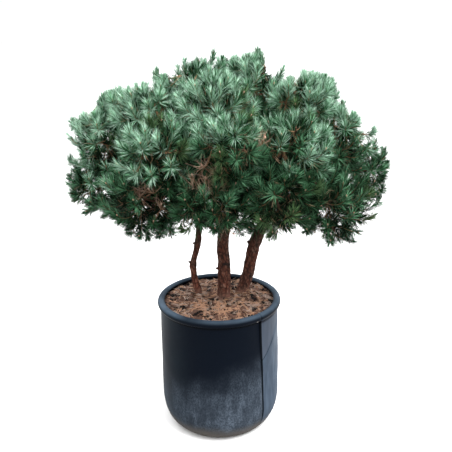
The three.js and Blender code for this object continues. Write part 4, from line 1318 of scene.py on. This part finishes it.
def grow_mass(index, limbs, settings):
    """Regrows one mass: its stem, the main twigs of the solids, and finer shoots by the same bud rule
    at a closer spacing. Each shoot leaves the main twig that points its way and bends up to its tip."""
    mass = MASSES[index]
    seed = index + 1
    carrier = next(limb for limb in limbs if limb.tip_mass == mass.name)
    stem, heading = mass_stem(index, carrier)
    roots, ways, full = dealt_buds(index, stem, heading)
    fit = longest_fit(index, roots, ways, full, SPRAY_MARGIN)
    main = spaced(ways[:MAIN_BUDS], fit[:MAIN_BUDS] > 0, SPRAY_SPACING, SPRAYS_PER_MASS)
    fit = longest_fit(index, roots, ways, full, -SHOOT_OVERLAP)
    main_tips = roots[main] + ways[main] * (full[main] * fit[main] * SPRAY_SHARE)[:, None]
    main_bends = mix(roots[main], main_tips, 0.5) - UP * TWIG_SAG
    mains = bezier((roots[main], main_bends, main_tips), np.linspace(0, 1, MAIN_POINTS))

    outer = spaced(ways, fit >= OUTER_FIT, OUTER_SPACING, settings.shoots_per_mass)
    inner = spaced(ways, (fit > 0) & (fit < OUTER_FIT), INNER_SPACING, MOST_INNER)
    filler = BUDS_PER_MASS - 1 - spaced(ways[::-1], fit[::-1] > 0, FILLER_SPACING, MOST_FILLERS)
    chosen = np.concatenate([outer, inner, filler])
    order = np.arange(len(chosen))
    is_outer, is_filler = order < len(outer), order >= len(outer) + len(inner)
    way = ways[chosen]
    reach = full[chosen] * fit[chosen] - AXIS_SHORT * np.where(is_outer, 1, INNER_SHORT)
    tips = roots[chosen] + way * np.where(is_filler, reach * FILLER_REACH, reach)[:, None]
    for spot in SHORT_PLACES:
        tips = tips - way * (is_near(tips + way * AXIS_SHORT, [spot]) * SHORTER)[:, None]

    closeness = way @ ways[main].T
    parent = closeness.argmax(axis=1)
    leave = mix(*LEAVE_SHARES, ease(*AGREEMENT, closeness.max(axis=1)))[:, None]
    sag = UP * (2 * TWIG_SAG * leave * (1 - leave))
    starts = mains[parent, 0] * (1 - leave) + mains[parent, -1] * leave - sag
    span = np.linalg.norm(tips - starts, axis=1)
    upturn = mix(*UPTURNS, np.clip((tips[:, 2] - UPTURN_HEIGHT) / UPTURN_RUN, 0, 1))
    facing = mix(*FACING_UPTURNS, np.clip((tips[:, 2] - FACING_HEIGHT) / FACING_RUN, 0, 1))
    upturn += np.abs(way[:, 1]) * facing
    upturn *= mix(*UPTURN_LUCK, chance(seed + 70, chosen))
    bends = tips - unit(way + UP * upturn[:, None]) * (span * 0.5)[:, None]
    paths = bezier((starts, bends, tips), np.linspace(0, 1, 9))
    keep = clear_of_limbs(paths[:, 3:], limbs, carrier) & (span > SHORTEST) & ~is_near(tips, OPEN_PLACES)
    bare = 1 - np.minimum(settings.brush_length / span, MOST_BRUSH)
    kind = shoot_tones(tips, chosen, is_outer, is_filler, seed)
    shoots = some_of(Shoots(starts, bends, tips, bare, kind), keep)
    leaders = led_shoots(mass.name, mains, settings)
    is_outer = np.concatenate([is_outer[keep], np.ones(len(leaders.tip), bool)])
    shoots = Shoots(*(np.concatenate(pair) for pair in zip(shoots, leaders)))
    return stem, carrier.radii[-1], mains, shoots, is_outer


def limb_shoots(limb, low, count, seed):
    """Short shoots along the outer part of a limb: each leans forward, turned by the golden angle from
    the one before, and bends up towards its tip."""
    k = np.arange(count)
    share = mix(low, LIMB_TO, (k + chance(seed, k)) / count)
    start = along(limb.points, share)
    past, before = np.minimum(share + LIMB_STEP, 1), share - LIMB_STEP
    ahead = unit(along(limb.points, past) - along(limb.points, before))
    side, up = square_to(ODD_WAY, ahead)
    out = turned(side, up, k * GOLDEN_TURN + FULL_TURN * chance(seed, 0.5))
    span = mix(*LIMB_SPANS, chance(seed + 1, k))
    tip = start + unit(out + ahead * LIMB_AHEAD + UP * LIMB_RISE) * span[:, None]
    bend = mix(start, tip, 0.5) - UP * TWIG_SAG
    # Their needles are dark: painted shade inside the crown
    return Shoots(start, bend, tip, np.full(count, LIMB_BARE), np.full(count, DARK))


def needle_surface(shoots, pairs, seed, settings, stouter=1.0):
    """Needles on shoots: pairs stand round the last part of a shoot's curve, each turned by the golden
    angle from the one before. They lean far out at the bottom and close in to the tip at the top. The
    second value deals each needle a tone: its shoot's own, or by luck one paler or up to three deeper,
    with deeper ones more likely near the foot of the brush, partly older needles and partly painted shade."""
    shoot = np.arange(len(shoots.tip))[:, None]
    order = np.arange(pairs)
    step = (order + 0.5) / pairs
    draw = shoot * pairs + order
    share = mix(shoots.bare[:, None], 1.0, step)
    spot = bezier((shoots.start, shoots.bend, shoots.tip), share)
    ahead = unit(bezier((shoots.bend - shoots.start, shoots.tip - shoots.bend), share))
    side, up = square_to(ODD_WAY, ahead)
    turn = order * GOLDEN_TURN + FULL_TURN * chance(seed, shoot) + stray(seed + 0.5, draw, TURN_STRAY)
    out = turned(side, up, turn)
    lean = mix(FOOT_LEAN, TIP_LEAN, step**LEAN_POWER) + stray(seed + 1.5, draw, LEAN_STRAY)
    way = turned(ahead, out, lean) + UP * NEEDLE_RISE
    across = unit(np.cross(ahead, out))[..., None, :]
    way = unit(way[..., None, :] + across * np.array([-PAIR_SPLAY, PAIR_SPLAY])[:, None])
    span = settings.needle_length * mix(*NEEDLE_SPANS, chance(seed + 2.5, draw))
    span = np.repeat((span * mix(1.0, TIP_SPAN, step**2))[..., None], 2, axis=-1)
    base = np.repeat(spot[..., None, :], 2, axis=-2)
    wide = unit(across - way * (across * way).sum(-1, keepdims=True))
    width = np.full(span.shape, settings.needle_width * stouter)
    surface = blades(
        base, base + way * span[..., None], wide, np.cross(wide, way), width, width * NEEDLE_FOLD,
        NEEDLE_WIDEST, span * NEEDLE_BOW,
    )
    draw = draw[..., None] * 2 + np.arange(2)
    kind = np.broadcast_to(shoots.kind[:, None, None], draw.shape)
    # Deeper near the foot of the brush: partly older needles, partly painted shade
    luck = chance(seed + 3.5, draw) - FOOT_DEEPER * (1 - ease(0.0, FOOT_TO, step))[:, None]
    one = DEEPER[kind]
    two = DEEPER[one]
    lucks = [luck > PALER_LUCK, *(luck < limit for limit in DEEPER_LUCKS)]
    kind = np.select(lucks, [PALER[kind], DEEPER[two], two, one], kind)
    fades = (chance(seed + 4.5, draw) < FADED_LUCK) & (step < FADED_TO)[:, None]
    kind = np.where(fades, FADED, kind)
    return (surface[0], [surface[1]]), np.repeat(kind.ravel(), 4)


def twig_surface(stem, foot_radius, mains, shoots):
    """The wood of a mass: its stem, its main twigs and its shoots as tapering tubes. The second value
    deals old wood to the stem and the main twigs, young wood to the shoots and dead wood to dead twigs."""
    paths = bezier((shoots.start, shoots.bend, shoots.tip), np.linspace(0, 1, SHOOT_POINTS))
    thick = tubes(stem[None], np.linspace(foot_radius, WOOD_GIRTHS[0], len(stem)), 10)
    main = tubes(mains, np.linspace(*WOOD_GIRTHS[1:3], MAIN_POINTS), 6)
    parts = [join([thick, main]), tubes(paths, np.linspace(*WOOD_GIRTHS[3:], SHOOT_POINTS), 4)]
    dead = shoots.kind == WITHERED
    if dead.any():
        parts.append(dead_twig_surface(some_of(shoots, dead), DEAD_TWIGS, 3))
    counts = [sum(len(group) for group in groups) for _, groups in parts]
    return join(parts), np.repeat(np.arange(len(parts)), counts)


def dead_twig_surface(shoots, count, seed):
    """Bare side twigs of withered shoots: thin tubes that leave each shoot at seeded shares of its
    length and angles round it, and bend as they go."""
    draw = np.arange(len(shoots.tip))[:, None] * count + np.arange(count)
    root = bezier((shoots.start, shoots.bend, shoots.tip), mix(DEAD_FROM, 1.0, chance(seed, draw)))
    way = np.stack([stray(seed + axis, draw, 1) for axis in (1, 2, 3)], axis=-1)
    way = unit(way + unit(shoots.tip - shoots.bend)[:, None] * DEAD_AHEAD)
    swing = np.stack([stray(seed + axis, draw, 1) for axis in (4, 5, 6)], axis=-1)
    span = mix(*DEAD_SPANS, chance(seed + 7, draw))[..., None]
    end = root + way * span
    bend = mix(root, end, 0.5) + swing * span * DEAD_SWING
    paths = bezier((root, bend, end), np.linspace(0, 1, len(DEAD_GIRTH)))
    return tubes(paths.reshape(-1, len(DEAD_GIRTH), 3), np.array(DEAD_GIRTH), 4)


def bud_surface(shoots):
    """A resting bud on the tip of each shoot: rings whose radius follows a pointed oval."""
    shares = np.linspace(0, 1, 4)
    far = shares * BUD_LENGTH - BUD_SINK
    paths = shoots.tip[:, None] + unit(shoots.tip - shoots.bend)[:, None] * far[:, None]
    return tubes(paths, BUD_RADIUS * np.sin(np.pi * (BUD_FOOT + BUD_RUN * shares)), 5)


# Operators


class PINE_OT_make_pot(Operator):
    """Make the nursery pot with its rolled lip, lapped seam and rivet"""

    bl_idname = "pine.make_pot"
    bl_label = "Make Pot"

    def execute(self, context):
        settings = context.scene.pine_pot
        plastic, metal = pot_material(settings), plain_material("worn_rivet", settings.rivet, 0.5, 0.4)
        make_piece("nursery_pot", pot_surface(settings), [plastic], ["pot"], smooth=38)
        make_piece("rivet", rivet_surface(), [metal], smooth=60)
        return {"FINISHED"}


class PINE_OT_make_soil(Operator):
    """Make the soil with its fallen needles and chips of bark"""

    bl_idname = "pine.make_soil"
    bl_label = "Make Soil"

    def execute(self, context):
        settings = context.scene.pine_soil
        mulch = [soil_material(settings)]
        make_piece("mulched_soil", soil_surface(settings), mulch, ["soil"], smooth=50)
        surface, deal = fallen_needle_surface(settings)
        finishes = [plain_material("fallen_needle", settings.fallen, 0.8, 0.3),
                    plain_material("old_fallen_needle", settings.fallen_grey, 0.85, 0.3)]
        make_piece("fallen_needles", surface, finishes, deal=deal)
        make_piece("long_fallen_needles", strand_surface(settings), [finishes[0]])
        surface, deal = bark_chip_surface(settings)
        finishes = [plain_material("bark_chip", settings.chip, 0.9, 0.3),
                    plain_material("dark_bark_chip", settings.chip_dark, 0.9, 0.3)]
        make_piece("bark_chips", surface, finishes, deal=deal)
        return {"FINISHED"}


class PINE_OT_make_limbs(Operator):
    """Make the three stems and the boughs with the relief of their bark"""

    bl_idname = "pine.make_limbs"
    bl_label = "Make Limbs"

    def execute(self, context):
        settings = context.scene.pine_bark
        finish_of_bark = bark_material(settings)
        limbs = all_limbs()
        for stem, limb in zip(STEMS, limbs):
            stubs = [skin(stub_rings(stem, limb, *stub)) for stub in stem.stubs]
            surface = join([skin(barked(limb, STEM_RINGS, STEM_SIDES, settings)), *stubs])
            make_piece(f"bark_{limb.name}", surface, [finish_of_bark], [limb.name], smooth=60)
        for limb in limbs[len(STEMS):]:
            surface = skin(barked(limb, BOUGH_RINGS, BOUGH_SIDES, settings, BOUGH_RELIEF))
            make_piece(f"bark_{limb.name}", surface, [finish_of_bark], [limb.name], smooth=60)
        return {"FINISHED"}


class PINE_OT_make_crown(Operator):
    """Make the twigs, needles and buds of every mass of foliage"""

    bl_idname = "pine.make_crown"
    bl_label = "Make Crown"

    def execute(self, context):
        settings = context.scene.pine_crown
        tones = [plain_material(f"needles_{tone}", getattr(settings, tone), 0.5, gloss)
                 for tone, gloss in zip(TONES, TONE_GLOSS)]
        wood = [plain_material("old_wood", settings.old_wood, 0.9, 0.3),
                plain_material("young_wood", settings.young_wood, 0.8, 0.3),
                plain_material("dead_wood", settings.dead_wood, 0.9, 0.2)]
        full = settings.pairs_per_shoot
        limbs = all_limbs()
        buds = []
        for index, mass in enumerate(MASSES):
            stem, foot_radius, mains, shoots, is_outer = grow_mass(index, limbs, settings)
            node = [f"foliage_{mass.name}"]
            surface, deal = twig_surface(stem, foot_radius, mains, shoots)
            make_piece(f"twigs_{mass.name}", surface, wood, node, deal=deal, smooth=70)
            dead = shoots.kind == WITHERED
            groups = (
                (is_outer & ~dead, full, 1.0),
                (~is_outer & ~dead, full // INNER_SPARSER, INNER_STOUTER),
                (dead, full // DEAD_SPARSER, 1.0),
            )
            made = []
            for group, pairs, stouter in groups:
                if group.any():
                    seed = 7 + index * 3 + len(made)
                    made.append(needle_surface(some_of(shoots, group), pairs, seed, settings, stouter))
            surfaces, deals = zip(*made)
            deal = np.concatenate(deals)
            make_piece(f"needles_{mass.name}", join(surfaces), tones, node, deal=deal)
            buds.append(bud_surface(some_of(shoots, is_outer)))
        for limb in limbs:
            low = BOUGH_FROM if limb.name.startswith("bough") else STEM_FROM
            shoots = limb_shoots(limb, low, BOUGH_SHOOTS, 5 + len(limb.name))
            surface, deal = needle_surface(shoots, full // INNER_SPARSER, 11, settings, INNER_STOUTER)
            make_piece(f"needles_on_{limb.name}", surface, tones, deal=deal)
        scales = plain_material("bud_scales", settings.bud, 0.7, 0.4)
        make_piece("buds", join(buds), [scales], smooth=70)
        return {"FINISHED"}


class PINE_OT_make_stage(Operator):
    """Make the pale floor, the soft light and the camera"""

    bl_idname = "pine.make_stage"
    bl_label = "Make Stage"

    def execute(self, context):
        scene = context.scene
        settings = scene.pine_stage
        corners = [(across, away, 0) for across, away in (FLOOR_CORNERS * FLOOR_HALF).tolist()]
        mesh = bpy.data.meshes.new("floor")
        mesh.from_pydata(corners, [], [(0, 1, 2, 3)])
        mesh.materials.append(plain_material("pale_floor", settings.floor_colour, 0.9, 0.1))
        floor = bpy.data.objects.new("floor", mesh)
        scene.collection.objects.link(floor)
        floor.visible_diffuse = False

        world = bpy.data.worlds.new("soft_light")
        world.use_nodes = True
        background = world.node_tree.nodes["Background"].inputs
        background["Color"].default_value = (1.0, 1.0, 1.0, 1.0)
        sky = Pattern(world.node_tree, "Generated")
        across, _, height = sky.axes()
        rise = settings.zenith_strength - settings.horizon_strength
        above = sky.scaled(sky.maths("MAXIMUM", height, 0.0), rise, settings.horizon_strength)
        below = sky.rise(height, BELOW_FROM, 0.0, settings.ground_strength)
        beside = sky.times(sky.fall(across, *LEFT_RANGE), sky.fall(height, *HEDGE_RANGE))
        hedge = sky.scaled(beside, settings.left_strength - 1.0, 1.0)
        light = sky.times(sky.times(above, below), hedge)
        seen = sky.add("ShaderNodeLightPath").outputs["Is Camera Ray"]
        behind = sky.maths("SUBTRACT", settings.sky_strength, light)
        sky.tree.links.new(sky.scaled(seen, behind, light), background["Strength"])
        scene.world = world

        lamp = bpy.data.lights.new("broad_lamp", "SUN")
        lamp.energy = settings.sun_strength
        lamp.angle = LAMP_ANGLE
        lamp_object = bpy.data.objects.new("broad_lamp", lamp)
        lamp_object.rotation_euler = LAMP_TURN
        scene.collection.objects.link(lamp_object)

        camera = bpy.data.cameras.new("camera")
        camera.sensor_width = SENSOR_WIDTH
        camera.lens = settings.focal_length
        camera_object = bpy.data.objects.new("camera", camera)
        turn = Matrix.Rotation(np.pi / 2 - settings.camera_tilt, 4, "X")
        turn = turn @ Matrix.Rotation(settings.camera_roll, 4, "Z")
        camera_object.matrix_world = Matrix.Translation(settings.camera_place) @ turn
        scene.collection.objects.link(camera_object)
        scene.camera = camera_object
        scene.view_settings.view_transform = "Standard"
        return {"FINISHED"}


class PINE_PT_panel(Panel):
    """Lists the operators in the order in which they are called"""

    bl_idname = "PINE_PT_panel"
    bl_label = "Scots Pine"
    bl_space_type = "VIEW_3D"
    bl_region_type = "UI"
    bl_category = "Scots Pine"

    def draw(self, context):
        for operator in MAKERS:
            self.layout.operator(operator.bl_idname)


MAKERS = (PINE_OT_make_stage, PINE_OT_make_pot, PINE_OT_make_soil, PINE_OT_make_limbs, PINE_OT_make_crown)
SETTINGS = {
    "pine_stage": PineStageSettings,
    "pine_pot": PinePotSettings,
    "pine_soil": PineSoilSettings,
    "pine_bark": PineBarkSettings,
    "pine_crown": PineCrownSettings,
}


def register():
    """Registers the classes and hangs the settings on the scene."""
    for group in (*SETTINGS.values(), *MAKERS, PINE_PT_panel):
        bpy.utils.register_class(group)
    for name, group in SETTINGS.items():
        setattr(bpy.types.Scene, name, PointerProperty(type=group))


def unregister():
    """Takes back what register did, in reverse."""
    for name in SETTINGS:
        delattr(bpy.types.Scene, name)
    for group in reversed((*SETTINGS.values(), *MAKERS, PINE_PT_panel)):
        bpy.utils.unregister_class(group)


def main():
    register()
    for maker in MAKERS:
        group, name = maker.bl_idname.split(".")
        getattr(getattr(bpy.ops, group), name)()
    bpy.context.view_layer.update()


if __name__ == "__main__":
    main()
